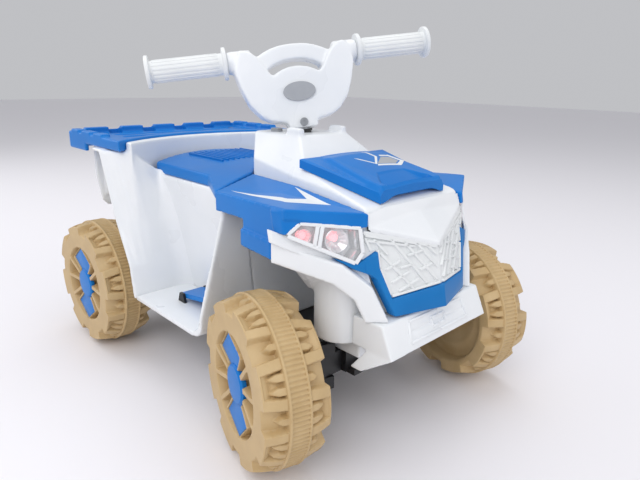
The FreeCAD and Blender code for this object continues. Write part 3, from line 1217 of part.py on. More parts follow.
def make_drive():
    """The motor, its pinion, two compound gears, the output gear and the two halves of the gear case."""
    face = v.gear_face
    layer = face + v.gear_gap
    sides = [-v.gear_side + index * layer for index in range(3)]
    second_angle = math.radians(v.second_angle)
    first_angle = math.radians(v.first_angle)
    pinion_angle = math.radians(v.pinion_angle)
    centres = [(-AXLE_X, v.wheel_radius)]
    pairs = ((second_angle, v.output_module, v.output_teeth, v.second_small_teeth),
             (first_angle, v.second_module, v.second_large_teeth, v.first_small_teeth),
             (pinion_angle, v.first_module, v.first_large_teeth, v.pinion_teeth))
    for angle, module, teeth, next_teeth in pairs:
        reach = module * (teeth + next_teeth) / 2
        x, z = centres[-1]
        centres.append((x + reach * math.cos(angle), z + reach * math.sin(angle)))

    def gear(centre, teeth, module, phase, start):
        outline = gear_outline(teeth, module, phase)
        return side_prism([(centre[0] + x, centre[1] + z) for x, z in outline], start, start + face)

    def across(radius, centre, start, end):
        return Part.makeCylinder(radius, end - start, Vec(centre[0], start, centre[1]), Vec(0, 1, 0))

    output, second, first, pinion = centres
    bore = v.gear_bore / 2 + v.running_clearance
    outer_wall = -v.gear_side - v.case_clearance
    wheel_floor = -(HALF_TRACK - HALF_WHEEL + v.hex_pocket_depth - v.seat_gap)
    wheel_face = -(HALF_TRACK - HALF_WHEEL + v.seat_gap)
    hub = across(v.drive_hub_radius, output, wheel_face + v.seat_gap * 2, sides[0] + face)
    drive = hexagon(v.drive_hex, wheel_floor, sides[0])
    drive.translate(Vec(output[0], 0, output[1]))
    output_gear = fused([gear(output, v.output_teeth, v.output_module, 0, sides[0]), hub, drive])
    axle_hole = across(AXLE_RADIUS + v.running_clearance, output, -HALF_TRACK, 0)
    solid_node("output_gear", output_gear.cut(axle_hole))
    small_phase = mesh_phase(second_angle, 0, v.output_teeth, v.second_small_teeth)
    second_gear = fused([gear(second, v.second_small_teeth, v.output_module, small_phase, sides[0]),
                         gear(second, v.second_large_teeth, v.second_module, 0, sides[1]),
                         across(v.gear_bore, second, sides[0], sides[1] + face)])
    solid_node("second_gear", second_gear.cut(across(bore, second, -HALF_TRACK, 0)))
    small_phase = mesh_phase(first_angle, 0, v.second_large_teeth, v.first_small_teeth)
    first_gear = fused([gear(first, v.first_small_teeth, v.second_module, small_phase, sides[1]),
                        gear(first, v.first_large_teeth, v.first_module, 0, sides[2]),
                        across(v.gear_bore, first, sides[1], sides[2] + face)])
    solid_node("first_gear", first_gear.cut(across(bore, first, -HALF_TRACK, 0)))
    pinion_phase = mesh_phase(pinion_angle, 0, v.first_large_teeth, v.pinion_teeth)
    inner_wall = sides[2] + face + v.case_clearance
    motor_start = inner_wall + v.case_wall
    shaft = across(v.motor_shaft, pinion, sides[2], motor_start + v.motor_length / 2)
    teeth = gear(pinion, v.pinion_teeth, v.first_module, pinion_phase, sides[2])
    solid_node("motor_pinion", fused([teeth, shaft]))
    motor = across(v.motor_radius, pinion, motor_start, motor_start + v.motor_length)
    tail_cap = across(v.motor_radius / 2, pinion, motor_start + v.motor_length,
                      motor_start + v.motor_length + v.wall)
    shaft_hole = across(v.motor_shaft + v.running_clearance, pinion, motor_start,
                        motor_start + v.motor_length / 2 + v.wall)
    solid_node("motor", fused([motor, tail_cap]).cut(shaft_hole))
    make_gear_case(centres, outer_wall, sides[0] + face + v.gear_gap / 2, inner_wall, across)


def make_gear_case(centres, outer_wall, split, inner_wall, across):
    """Both halves of the gear case; the inner half carries the posts of the compound gears."""
    output, second, first, pinion = centres
    reach = v.output_module * (v.output_teeth / 2 + 1) + v.case_clearance
    right = second[0] + v.second_module * (v.second_large_teeth / 2 + 1) + v.case_clearance
    low = output[1] - reach
    high = pinion[1] + v.first_module * (v.pinion_teeth / 2 + 1) + v.case_clearance

    def outline(offset):
        return [(output[0] - reach - offset, low - offset), (right + offset, low - offset),
                (right + offset, high + offset),
                (first[0] - v.first_module * v.first_large_teeth / 2 - v.case_clearance * 2 - offset,
                 high + offset),
                (output[0] - reach - offset, output[1] + reach + offset)]

    wall = v.case_wall
    halves = {"gearbox_outer_case": (outer_wall - wall, split, outer_wall, split + v.overrun),
              "gearbox_inner_case": (split, inner_wall + wall, split - v.overrun, inner_wall)}
    for label, (start, end, hollow_start, hollow_end) in halves.items():
        case = side_prism(outline(wall), start, end).cut(side_prism(outline(0), hollow_start, hollow_end))
        if label == "gearbox_outer_case":
            case = case.cut(across(v.drive_hub_radius + v.seat_gap, output, start - wall, split))
        else:
            posts = [across(v.gear_bore / 2, place, outer_wall + v.seat_gap, inner_wall)
                     for place in (second, first)]
            holes = [across(AXLE_RADIUS + v.seat_gap, output, start, end),
                     across(v.motor_shaft + v.seat_gap, pinion, start, end)]
            case = fused([case.cut(fused(holes))] + posts)
        solid_node(label, case)


def make_pedal():
    """The accelerator pedal in the right footwell with its bracket and switch."""
    pivot_x = -v.pedal_rear
    pivot_z = v.well_floor + v.pedal_lift
    inner = -v.pedal_inner
    outer = inner - v.pedal_width
    tilt = math.radians(v.pedal_tilt)
    half = v.pedal_thickness / 2
    corners = [(-v.pedal_thickness, -half), (v.pedal_length, -half), (v.pedal_length, half),
               (-v.pedal_thickness, half)]
    outline = [(pivot_x + x * math.cos(tilt) - z * math.sin(tilt),
                pivot_z + x * math.sin(tilt) + z * math.cos(tilt))
               for x, z in corners]
    pin_radius = v.pedal_pin / 2
    hole = Part.makeCylinder(pin_radius + v.running_clearance, v.wheel_track,
                             Vec(pivot_x, -HALF_TRACK, pivot_z), Vec(0, 1, 0))
    solid_node("accelerator_pedal", side_prism(outline, outer, inner).cut(hole))
    ear = v.pedal_lift
    ears = []
    for start in (inner + v.seat_gap, outer - v.seat_gap - v.wall):
        ears.append(side_prism([(pivot_x - ear, v.well_floor), (pivot_x + ear, v.well_floor),
                                (pivot_x + ear / 2, pivot_z + ear / 2),
                                (pivot_x - ear / 2, pivot_z + ear / 2)], start, start + v.wall))
    pin = Part.makeCylinder(pin_radius, v.pedal_width + 2 * v.seat_gap,
                            Vec(pivot_x, outer - v.seat_gap, pivot_z), Vec(0, 1, 0))
    solid_node("pedal_bracket", Part.makeCompound(ears).fuse(pin).removeSplitter())
    switch = block("pedal_switch", ("switch_width", "switch_width", "switch_height"),
                   ("pedal_switch_x", "-pedal_inner - pedal_width / 2 - switch_width / 2", "well_floor"))
    node(switch, "pedal_switch")


def make_battery():
    """The battery on the undertray below the seat."""
    case = block("battery_case", ("battery_length", "battery_width", "battery_height"),
                 ("-wheelbase / 2 + battery_ahead", "-battery_width / 2", "floor_height + floor_thickness"))
    terminals = []
    for index, sign in enumerate(("", "-")):
        terminals.append(block(f"terminal_{index}", ("button_radius", "button_radius", "button_travel"),
                               ("-wheelbase / 2 + battery_ahead + terminal_inset",
                                f"{sign}terminal_spread - button_radius / 2",
                                "floor_height + floor_thickness + battery_height")))
    node(joined("battery_block", [case] + terminals), "battery")


make_wheels()
make_knuckles()
make_steering()
make_chassis()
make_middle()
make_tail()
make_console()
solid_node("hood", hood_shape())
solid_node("left_front_fender", fender_shape())
solid_node("right_front_fender", mirrored(fender_shape()))
make_nose()
make_lamps()
make_drive()
make_pedal()
make_battery()
doc.recompute()

for item in doc.Objects:
    if "Invalid" in item.State or "Error" in item.State:
        raise RuntimeError(f"{item.Label} failed: {item.State}")
for item in NODES:
    if item.Shape.isNull() or not item.Shape.isValid():
        raise RuntimeError(f"{item.Label} has no valid shape")
os.makedirs("parts", exist_ok=True)
for item in NODES:
    item.Shape.exportStep(f"parts/{item.Label}.step")
    print(item.Label, len(item.Shape.Solids), round(item.Shape.Volume))
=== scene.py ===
import json
import math

import bmesh
import bpy
import numpy as np
from mathutils import Matrix, Vector
from mathutils.bvhtree import BVHTree


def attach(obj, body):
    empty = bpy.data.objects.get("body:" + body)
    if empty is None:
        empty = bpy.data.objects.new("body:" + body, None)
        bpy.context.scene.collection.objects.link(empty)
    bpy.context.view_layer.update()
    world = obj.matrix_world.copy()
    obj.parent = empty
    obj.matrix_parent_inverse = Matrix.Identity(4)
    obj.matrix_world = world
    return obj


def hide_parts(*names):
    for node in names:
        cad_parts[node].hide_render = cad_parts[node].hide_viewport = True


# A kids quad bike. Places and sizes are in millimetres until a mesh is made, which is in metres.
# x points forward, y to the rider's left and z up; the ground is z 0, below the middle of the wheelbase.

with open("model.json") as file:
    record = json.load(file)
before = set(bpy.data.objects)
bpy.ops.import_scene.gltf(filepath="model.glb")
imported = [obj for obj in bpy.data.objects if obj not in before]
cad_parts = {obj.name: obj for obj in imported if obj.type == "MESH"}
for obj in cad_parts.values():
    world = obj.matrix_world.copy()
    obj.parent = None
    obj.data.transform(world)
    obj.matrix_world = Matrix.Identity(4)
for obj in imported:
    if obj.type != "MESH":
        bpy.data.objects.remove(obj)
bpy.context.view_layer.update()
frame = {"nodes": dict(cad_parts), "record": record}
NODES = frame["nodes"]
BODY_OF = {node: body for body, nodes in frame["record"]["behaviour"]["bodies"].items() for node in nodes}
SLOT_OF = {part["node"]: part["material_slot"] for part in frame["record"]["subparts"]}
MM = 0.001
RIGHT_LEFT = (-1, 1)


# Colour, nodes and materials

DRIFT_LOW, DRIFT_HIGH = 0.3, 0.7  # the part of the noise's range that the tone runs over
ROUGH_SPREAD = 0.15
GRAIN_STRENGTH = 0.6
COAT_ROUGHNESS = 0.08


def linear(hex_colour):
    """An sRGB hex colour as linear red, green, blue and alpha."""
    channels = [int(hex_colour[i:i + 2], 16) / 255 for i in (1, 3, 5)]
    return [c / 12.92 if c <= 0.04045 else ((c + 0.055) / 1.055) ** 2.4 for c in channels] + [1.0]


def add(tree, kind, inputs=None, **settings):
    """A node with its settings; an input is a value, or a socket to link from."""
    node = tree.nodes.new(kind)
    for name, value in settings.items():
        setattr(node, name, value)
    for name, value in (inputs or {}).items():
        if isinstance(value, bpy.types.NodeSocket):
            tree.links.new(value, node.inputs[name])
        else:
            node.inputs[name].default_value = value
    return node


def ramp(tree, factor, stops):
    """A colour ramp with (place, hex colour) stops."""
    node = add(tree, "ShaderNodeValToRGB", {"Fac": factor})
    elements = node.color_ramp.elements
    while len(elements) < len(stops):
        elements.new(0.5)
    for element, (place, colour) in zip(elements, stops):
        element.position = place
        element.color = linear(colour)
    return node.outputs["Color"]


def tuned(material, **settings):
    """Sets inputs of a material's shader by their names, with _ for a space."""
    inputs = material.node_tree.nodes["Principled BSDF"].inputs
    for name, value in settings.items():
        inputs[name.replace("_", " ")].default_value = value
    return material


def moulded_plastic(name, colour, shade, roughness, mottle_mm, grain_mm, grain_depth, coat=0.0, ior=1.5):
    """A moulded plastic: a slow drift of tone over mottle_mm and a fine surface grain of grain_mm."""
    material = bpy.data.materials.new(name)
    material.use_nodes = True
    tree = material.node_tree
    shader = tree.nodes["Principled BSDF"]
    place = add(tree, "ShaderNodeTexCoord").outputs["Object"]
    drift = add(tree, "ShaderNodeTexNoise", {"Vector": place, "Scale": 1 / (mottle_mm * MM), "Detail": 3.0})
    grain = add(tree, "ShaderNodeTexNoise", {"Vector": place, "Scale": 1 / (grain_mm * MM), "Detail": 2.0})
    tone = ramp(tree, drift.outputs["Fac"], [(DRIFT_LOW, shade), (DRIFT_HIGH, colour)])
    tree.links.new(tone, shader.inputs["Base Color"])
    rough = add(tree, "ShaderNodeMapRange", {
        "Value": drift.outputs["Fac"], "From Min": DRIFT_LOW, "From Max": DRIFT_HIGH,
        "To Min": roughness * (1 - ROUGH_SPREAD), "To Max": roughness * (1 + ROUGH_SPREAD)})
    tree.links.new(rough.outputs["Result"], shader.inputs["Roughness"])
    bump = add(tree, "ShaderNodeBump", {"Height": grain.outputs["Fac"], "Distance": grain_depth * MM,
                                        "Strength": GRAIN_STRENGTH})
    tree.links.new(bump.outputs["Normal"], shader.inputs["Normal"])
    return tuned(material, IOR=ior, Coat_Weight=coat, Coat_Roughness=COAT_ROUGHNESS)


# White body panels: moulded in a polished mould, so a soft gloss lies over an even, faintly drifting white
WHITE = moulded_plastic("white_gloss_polypropylene", "#EEF0F2", "#E6E9EC", 0.3, 90, 0.9, 0.012, coat=0.25)
# Grips, grille and prints: the same white from a duller mould, which spreads its highlights to a satin
WHITE_MATT = moulded_plastic("white_satin_polypropylene", "#EAECEC", "#E0E3E4", 0.42, 60, 0.8, 0.02)
# Blue panels: little glare on the surface, so that the blue stays full in bright light
BLUE = moulded_plastic("blue_gloss_polypropylene", "#1A79CB", "#1671C1", 0.34, 70, 0.9, 0.012)
# Trim round the grille: a greyer blue from another batch
BLUE_TRIM = moulded_plastic("mid_blue_polypropylene", "#1B78BE", "#1770B4", 0.34, 60, 0.9, 0.012)
for blue in (BLUE, BLUE_TRIM):
    tuned(blue, Specular_IOR_Level=0.18)
# Wheels: waxy polyethylene with broad dull highlights and a slight orange peel
TAN = moulded_plastic("tan_blow_moulded_polyethylene", "#C8AD80", "#BC9F70", 0.5, 26, 1.1, 0.05)
# Undertray, battery and switches: near black, with a soft sheen along its edges
BLACK = moulded_plastic("black_satin_polypropylene", "#1B1B1E", "#141416", 0.45, 40, 0.7, 0.03)
# Gears: milky plastic without dye
NYLON = moulded_plastic("natural_nylon", "#E4DFCC", "#D9D3BD", 0.38, 20, 0.6, 0.02)
# Badge and hood inlay: fine silver paint under a clear coat
GREY = moulded_plastic("silver_painted_abs", "#A9ACB0", "#A0A3A8", 0.34, 30, 0.5, 0.01, coat=0.3)
# Axles, pins, nuts and screws: cool bright metal with a small spangle
ZINC = tuned(moulded_plastic("zinc_plated_steel", "#B9BDC2", "#A4A8AD", 0.32, 6, 0.5, 0.01), Metallic=1.0)
# Lamp bowls: a thin mirror coat on plastic, its reflections broken up by small waves
CHROME = tuned(moulded_plastic("vacuum_chromed_reflector", "#EEF0F2", "#D2D6DB", 0.2, 5, 1.6, 0.12), Metallic=0.6)
# Lamp covers: see-through, with a sharp gloss and a faint ripple from the mould
LENS = tuned(moulded_plastic("clear_polycarbonate", "#FBFCFD", "#FBFCFD", 0.06, 30, 6.0, 0.02, ior=1.585), Alpha=0.16)
# Small lamps: coloured epoxy lit from inside
PINK_LED = tuned(moulded_plastic("pink_lit_epoxy", "#F4A3A8", "#F4A3A8", 0.2, 10, 0.8, 0.01),
                 Emission_Color=linear("#FF8A92"), Emission_Strength=1.3)

MATERIAL_OF_SLOT = {"white_plastic": WHITE, "blue_plastic": BLUE, "tan_plastic": TAN, "black_plastic": BLACK,
                    "steel": ZINC, "gear_plastic": NYLON, "clear_lens": LENS, "chrome_reflector": CHROME,
                    "lamp_plastic": PINK_LED, "grey_plastic": GREY}


# Mesh helpers

MERGE = 1e-6  # metres
CAD_MERGE = 2e-6
FLAT_ANGLE = 1.0  # degrees between the triangles of one flat CAD face
KEPT_SHARE = 0.4  # of a moulding's faces


def put(mesh, name, material):
    """A mesh as an object in the scene with one material."""
    thing = bpy.data.objects.new(name, mesh)
    bpy.context.scene.collection.objects.link(thing)
    mesh.materials.clear()
    mesh.materials.append(material)
    return thing


def mesh_of(work, name):
    """A mesh from one being built, which ends."""
    mesh = bpy.data.meshes.new(name)
    work.to_mesh(mesh)
    work.free()
    return mesh


def mesh_from(name, points, faces):
    """A smooth mesh from points in metres and faces, merged and facing outwards."""
    mesh = bpy.data.meshes.new(name)
    mesh.from_pydata([tuple(p) for p in points], [], [tuple(f) for f in faces])
    work = bmesh.new()
    work.from_mesh(mesh)
    bmesh.ops.remove_doubles(work, verts=work.verts, dist=MERGE)
    bmesh.ops.recalc_face_normals(work, faces=work.faces)
    work.to_mesh(mesh)
    work.free()
    for polygon in mesh.polygons:
        polygon.use_smooth = True
    return mesh


def cad_mesh(node, flat_angle=0.0):
    """A merged copy of a CAD node's mesh, its flat faces joined again if an angle in degrees is given."""
    mesh = NODES[node].data.copy()
    work = bmesh.new()
    work.from_mesh(mesh)
    bmesh.ops.remove_doubles(work, verts=work.verts, dist=CAD_MERGE)
    if flat_angle:
        bmesh.ops.dissolve_limit(work, angle_limit=math.radians(flat_angle), verts=work.verts, edges=work.edges)
    work.to_mesh(mesh)
    work.free()
    return mesh


def baked(thing):
    """Turns an object's modifiers into its mesh."""
    graph = bpy.context.evaluated_depsgraph_get()
    mesh = bpy.data.meshes.new_from_object(thing.evaluated_get(graph))
    thing.modifiers.clear()
    thing.data = mesh
    return thing


def smooth_shading(thing, degrees):
    """Smooth faces with sharp edges kept above an angle."""
    mesh = thing.data
    for polygon in mesh.polygons:
        polygon.use_smooth = True
    mesh.set_sharp_from_angle(angle=math.radians(degrees))
    return thing


def eased(thing, factor, passes):
    """Adds a smoothing of an object's mesh."""
    ease = thing.modifiers.new("ease", "SMOOTH")
    ease.factor = factor
    ease.iterations = passes


def bevelled(thing, width_mm, segments=2, angle=30):
    """Rounds an object's edges to a width, where they turn by more than an angle in degrees."""
    bevel = thing.modifiers.new("edge", "BEVEL")
    bevel.width = width_mm * MM
    bevel.segments = segments
    bevel.limit_method = "ANGLE"
    bevel.angle_limit = math.radians(angle)
    return baked(thing)


def loft(rings):
    """A closed solid through rings of points in millimetres, as points and faces."""
    count = len(rings[0])
    points = [point for ring in rings for point in ring]
    faces = [tuple(reversed(range(count))), tuple(range(len(points) - count, len(points)))]
    for i in range(len(rings) - 1):
        for j in range(count):
            k = (j + 1) % count
            faces.append((i * count + j, i * count + k, (i + 1) * count + k, (i + 1) * count + j))
    return points, faces


def with_solids(mesh, solids):
    """Adds closed solids to a mesh; a remesh then joins what overlaps."""
    work = bmesh.new()
    work.from_mesh(mesh)
    for points, faces in solids:
        verts = [work.verts.new(Vector(p) * MM) for p in points]
        made = [work.faces.new([verts[i] for i in face]) for face in faces]
        bmesh.ops.recalc_face_normals(work, faces=made)
    work.to_mesh(mesh)
    work.free()
    return mesh


def moulding(name, mesh, voxel_mm, passes, material):
    """A mesh as a soft edged moulding: remeshed finely, its edges eased by smoothing, then thinned."""
    thing = put(mesh, name, material)
    remesh = thing.modifiers.new("even", "REMESH")
    remesh.mode = "VOXEL"
    remesh.voxel_size = voxel_mm * MM
    eased(thing, 0.5, passes)
    thin = thing.modifiers.new("thin", "DECIMATE")
    thin.ratio = KEPT_SHARE
    return smooth_shading(baked(thing), 60)


def rounded(node, voxel_mm, passes, material, solids=()):
    """A CAD node, with any solids that fill out its form, as a soft edged moulding."""
    mesh = with_solids(cad_mesh(node), solids)
    return moulding(node + "_moulding", mesh, voxel_mm, passes, material)


def edged(node, width_mm, material):
    """A CAD node with its edges rounded to a width."""
    thing = put(cad_mesh(node, FLAT_ANGLE), node + "_moulding", material)
    return smooth_shading(bevelled(thing, width_mm, segments=3, angle=28), 35)


def stand_for(thing, *nodes):
    """The piece rides on its nodes' body and hides them."""
    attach(thing, BODY_OF[nodes[0]])
    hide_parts(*nodes)
    return thing


def carried(thing, body):
    """A piece of its own that rides on a body."""
    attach(thing, body)
    return thing


# Wheels: a blow moulded tyre and dish in one, drawn as a skin over angle and profile

WHEEL_STEPS = 720
RIB_COUNT = 120
LUG_PITCH = 45.0  # degrees
LUG_PHASE = -14.0
ARM_PLACE, ARM_HALF = 12.0, 3.8  # a lug's two arms, in degrees from its middle
ARM_LEAN = 1.6
FINGER_PLACE, FINGER_HALF = 4.1, 2.7  # short wedges between the arms
SPOKE_PLACES = (58, 90)  # degrees from the kites' line
SPOKE_HALF = 2.1
KITE_FRAME = 2.4
DISH_FLOOR = 18.6
BOSS = 27.0
SIDE = 36.5
BAND_HALF = 13.2
SIDE_HALF = 36.4
# The ribbed band across the tread, as (along the axle, radius, depth of the grooves)
BAND = ((12.6, 97.6, 0), (12.3, 99.4, 0), (11.4, 100.0, 0), (9.9, 99.9, 0), (9.5, 99.4, 1.4), (5.0, 99.6, 1.5),
        (0.0, 99.7, 1.5), (-5.0, 99.6, 1.5), (-9.5, 99.4, 1.4), (-9.9, 99.9, 0), (-11.4, 100.0, 0),
        (-12.3, 99.4, 0), (-12.6, 97.6, 0))
# The inner dish, plain but for a stiffening ring, as (radius, along the axle)
INNER_DISH = ((74.0, -35.0), (72.0, -22.0), (62.0, -21.0), (58.0, -24.0), (50.0, -24.0), (46.0, -21.0),
              (30.0, -21.0), (28.0, -30.0), (20.0, -31.0), (12.0, -31.0))


def step_up(value, low, high):
    """A smooth step from 0 to 1 between two values."""
    t = np.clip((value - low) / (high - low), 0, 1)
    return t * t * (3 - 2 * t)


def bar(value, half, soft):
    """1 inside plus or minus half, falling to 0 over soft."""
    return 1 - step_up(np.abs(value), half - soft, half + soft)


def pair(local, place, half, soft):
    """Two bars at plus and minus a place."""
    return np.maximum(bar(local - place, half, soft), bar(local + place, half, soft))


def lug_mask(angle, across):
    """How much of a lug stands at an angle in degrees and a share of the way from the band to the side."""
    local = (angle + LUG_PITCH / 2) % LUG_PITCH - LUG_PITCH / 2
    between = angle % LUG_PITCH - LUG_PITCH / 2
    lean = ARM_LEAN * across
    arms = pair(local, ARM_PLACE - lean, ARM_HALF, 0.7)
    bridge = bar(local, ARM_PLACE + ARM_HALF - lean, 0.8) * step_up(across, 0.82, 0.95)
    pocket = bar(local, 9.9, 1.2) * (0.03 + 0.75 * step_up(across, 0.45, 0.92))
    wedge = np.clip((0.80 - across) / 0.5, 0.0, 1)
    fingers = pair(local, FINGER_PLACE, FINGER_HALF * wedge, 0.6)
    fingers = fingers * np.minimum(wedge * 2, 1) * (0.98 - 0.3 * across)
    stub = bar(between, FINGER_HALF * np.clip((0.56 - across) / 0.3, 0, 1), 0.7) * (1 - step_up(across, 0.42, 0.54))
    return np.maximum.reduce([arms, bridge, pocket, fingers, stub * 0.85])


def kite_edge(radius, spoke):
    """How far outside the hub cap's kites a place of the dish lies, in millimetres."""
    across = np.abs(radius * np.sin(np.radians(spoke)))
    along = radius * np.cos(np.radians(spoke))
    half = np.interp(along, (19.3, 38.1, 60.0, 64.0), (10.5, 30.0, 0.0, -5.5))
    return (across - half) * 0.65


def dish_depth(radius, spoke):
    """The outer dish along the axle: a floor with spokes and a frame round each kite, its pockets rounded."""
    gap = kite_edge(radius, spoke)
    walls = [60.5 - radius, radius - 22.5, gap - KITE_FRAME]
    for place in SPOKE_PLACES:
        walls.append(np.radians(np.abs(np.abs(spoke) - place)) * radius - SPOKE_HALF)
    near = sum(np.maximum(wall, 0.05) ** -2.0 for wall in walls) ** -0.5
    ridge = (1 - step_up(near, 0.3, 2.4)) * step_up(gap, 0.4, 1.0) * step_up(radius, 22.0, 25.0)
    return DISH_FLOOR + ridge * (15.6 + 2.0 * step_up(radius, 26.0, 58.0))


def tyre_skin():
    """Points and faces of a wheel about its own axis: x along the axle, outwards positive, in millimetres."""
    turn = np.arange(WHEEL_STEPS) * 360.0 / WHEEL_STEPS
    rows = []

    def row(radius, along):
        rows.append((np.broadcast_to(radius, turn.shape), np.broadcast_to(along, turn.shape)))

    def shoulder(side, shares, offset):
        for share in shares:
            mask = lug_mask(turn + offset, np.full_like(turn, share))
            base = 88.5 - 6.5 * share ** 2.4
            top = 98.0 - 5.0 * share ** 1.6
            end = step_up(np.full_like(turn, share), 0.93, 1.0)
            along = BAND_HALF + (SIDE_HALF - BAND_HALF) * share + 0.5 * end * mask
            row(base + (top - base) * mask, side * along)

    # Boss, outer dish, wall and rim ring
    row(12.0, BOSS)
    row(18.7, BOSS)
    for radius in np.linspace(19.5, 62.0, 44):
        row(radius, dish_depth(np.full_like(turn, radius), turn % 180 - 90))
    row(63.0, 36.3)
    row(64.2, SIDE)
    for radius in np.linspace(65.5, 80.5, 8):
        row(radius, 36.6)
    # Outer shoulder with its lugs, the ribbed band, inner shoulder
    side_shares = np.linspace(1.0, 0.0, 22)
    row(81.8, SIDE)
    shoulder(1, side_shares, LUG_PHASE)
    rib = step_up(0.5 + 0.5 * np.cos(np.radians(turn * RIB_COUNT)), 0.3, 0.6)
    for along, radius, depth in BAND:
        row(radius - depth * (1 - rib), along)
    shoulder(-1, side_shares[::-1], LUG_PHASE + LUG_PITCH / 2)
    row(81.8, -SIDE)
    for radius in (79.0, 76.0):
        row(radius, -SIDE_HALF)
    for radius, along in INNER_DISH:
        row(radius, along)
    a = np.radians(turn)
    points = np.concatenate([np.column_stack([along, radius * np.cos(a), radius * np.sin(a)])
                             for radius, along in rows])
    faces = []
    n = WHEEL_STEPS
    for i in range(len(rows)):
        after = (i + 1) % len(rows)
        for j in range(n):
            k = (j + 1) % n
            faces.append((i * n + j, i * n + k, after * n + k, after * n + j))
    return points, faces


SKIN_POINTS, SKIN_FACES = tyre_skin()


def wheel_axes(outward, kite_turn):
    """A wheel's own directions: outwards along the axle, across, and along its kites."""
    x = Vector(outward).normalized()
    z = Vector((0.0, 0.0, 1.0))
    y = z.cross(x)
    a = math.radians(kite_turn)
    up = z * math.cos(a) + y * math.sin(a)
    return x, up.cross(x), up


def wheel(node, centre, outward, kite_turn):
    """A wheel's skin set on its axle: outward is the axle's direction away from the quad."""
    axes = wheel_axes(outward, kite_turn)
    world = np.array(centre) + SKIN_POINTS @ np.array(axes)
    mesh = mesh_from(node + "_skin", world * MM, SKIN_FACES)
    thing = put(mesh, node + "_tyre", TAN)
    eased(thing, 0.35, 1)
    return stand_for(smooth_shading(baked(thing), 55), node)


CAP_FACE = 29.0  # the cap's disc and kites lie further out than this,
CAP_DISC = 24.2  # and its kites further from the axle than this
KITE_LIFT = 2.4


def hub_cap(node, centre, outward):
    """A hub cap, its kites raised level with the side of the tyre."""
    x = Vector(outward).normalized()
    cap = edged(node, 1.2, BLUE)
    for vertex in cap.data.vertices:
        place = vertex.co - Vector(centre) * MM
        along = place.dot(x)
        if along > CAP_FACE * MM and (place - x * along).length > CAP_DISC * MM:
            vertex.co += x * (KITE_LIFT * MM)
    return stand_for(cap, node)


STEER = math.radians(-15.36455)  # the front wheels at rest
AXLE = np.array((-math.sin(STEER), math.cos(STEER), 0.0))
for end, centre, outward, kite_turn in (
        ("front_right", (199.923, -174.427, 100), -AXLE, -12),
        ("front_left", (238.077, 174.427, 100), AXLE, 12),
        ("rear_right", (-219, -177, 100), (0, -1, 0), 0),
        ("rear_left", (-219, 177, 100), (0, 1, 0), 0)):
    wheel(end + "_wheel", centre, outward, kite_turn)
    hub_cap(end + "_hub_cap", centre, outward)


# Repeated mouldings come from one tree: bars of a size, set in a row or in a ring about an axis

def bar_tree():
    """A Geometry Nodes tree: a bar repeated along a line or round a circle, realised and given a material."""
    tree = bpy.data.node_groups.new("repeated_bars", "GeometryNodeTree")
    face = tree.interface
    for name, kind in (("Bar Size", "Vector"), ("Count", "Int"), ("Start", "Vector"), ("Step", "Vector"),
                       ("Ring Radius", "Float"), ("In Ring", "Bool"), ("Finish", "Material")):
        face.new_socket(name, in_out="INPUT", socket_type="NodeSocket" + kind)
    face.new_socket("Geometry", in_out="OUTPUT", socket_type="NodeSocketGeometry")
    given = add(tree, "NodeGroupInput").outputs
    piece = add(tree, "GeometryNodeMeshCube", {"Size": given["Bar Size"]}).outputs["Mesh"]
    line = add(tree, "GeometryNodeMeshLine", {"Count": given["Count"], "Start Location": given["Start"],
                                              "Offset": given["Step"]})
    ring = add(tree, "GeometryNodeMeshCircle", {"Vertices": given["Count"], "Radius": given["Ring Radius"]})
    place = add(tree, "GeometryNodeInputPosition")
    face_out = add(tree, "FunctionNodeAlignRotationToVector", {"Vector": place.outputs["Position"]}, axis="X")
    in_row = add(tree, "GeometryNodeInstanceOnPoints", {"Points": line.outputs["Mesh"], "Instance": piece})
    in_ring = add(tree, "GeometryNodeInstanceOnPoints", {"Points": ring.outputs["Mesh"], "Instance": piece,
                                                         "Rotation": face_out.outputs["Rotation"]})
    pick = add(tree, "GeometryNodeSwitch", {"Switch": given["In Ring"], "False": in_row.outputs["Instances"],
                                            "True": in_ring.outputs["Instances"]}, input_type="GEOMETRY")
    real = add(tree, "GeometryNodeRealizeInstances", {"Geometry": pick.outputs["Output"]})
    done = add(tree, "GeometryNodeSetMaterial", {"Geometry": real.outputs["Geometry"], "Material": given["Finish"]})
    add(tree, "NodeGroupOutput", {"Geometry": done.outputs["Geometry"]})
    return tree


BARS = bar_tree()


def bars(name, material, soft_mm, **inputs):
    """A plain mesh of repeated bars with soft edges; sizes and places are in metres."""
    thing = put(bpy.data.meshes.new(name), name, material)
    work = thing.modifiers.new("bars", "NODES")
    work.node_group = BARS
    names = {item.name: item.identifier for item in BARS.interface.items_tree if item.in_out == "INPUT"}
    for key, value in {**inputs, "Finish": material}.items():
        work[names[key.replace("_", " ")]] = value
    baked(thing)
    bevelled(thing, soft_mm)
    thing.data.materials.clear()
    thing.data.materials.append(material)
    return smooth_shading(thing, 50)


# Sheets that lie on a moulding: prints and inlays follow the face below them

SHEET_LIFT = 0.02
SHEET_PITCH = 4.0
DROP = 0.2  # metres above the sheet from which it falls on the face
SPLIT_ROUNDS = 7


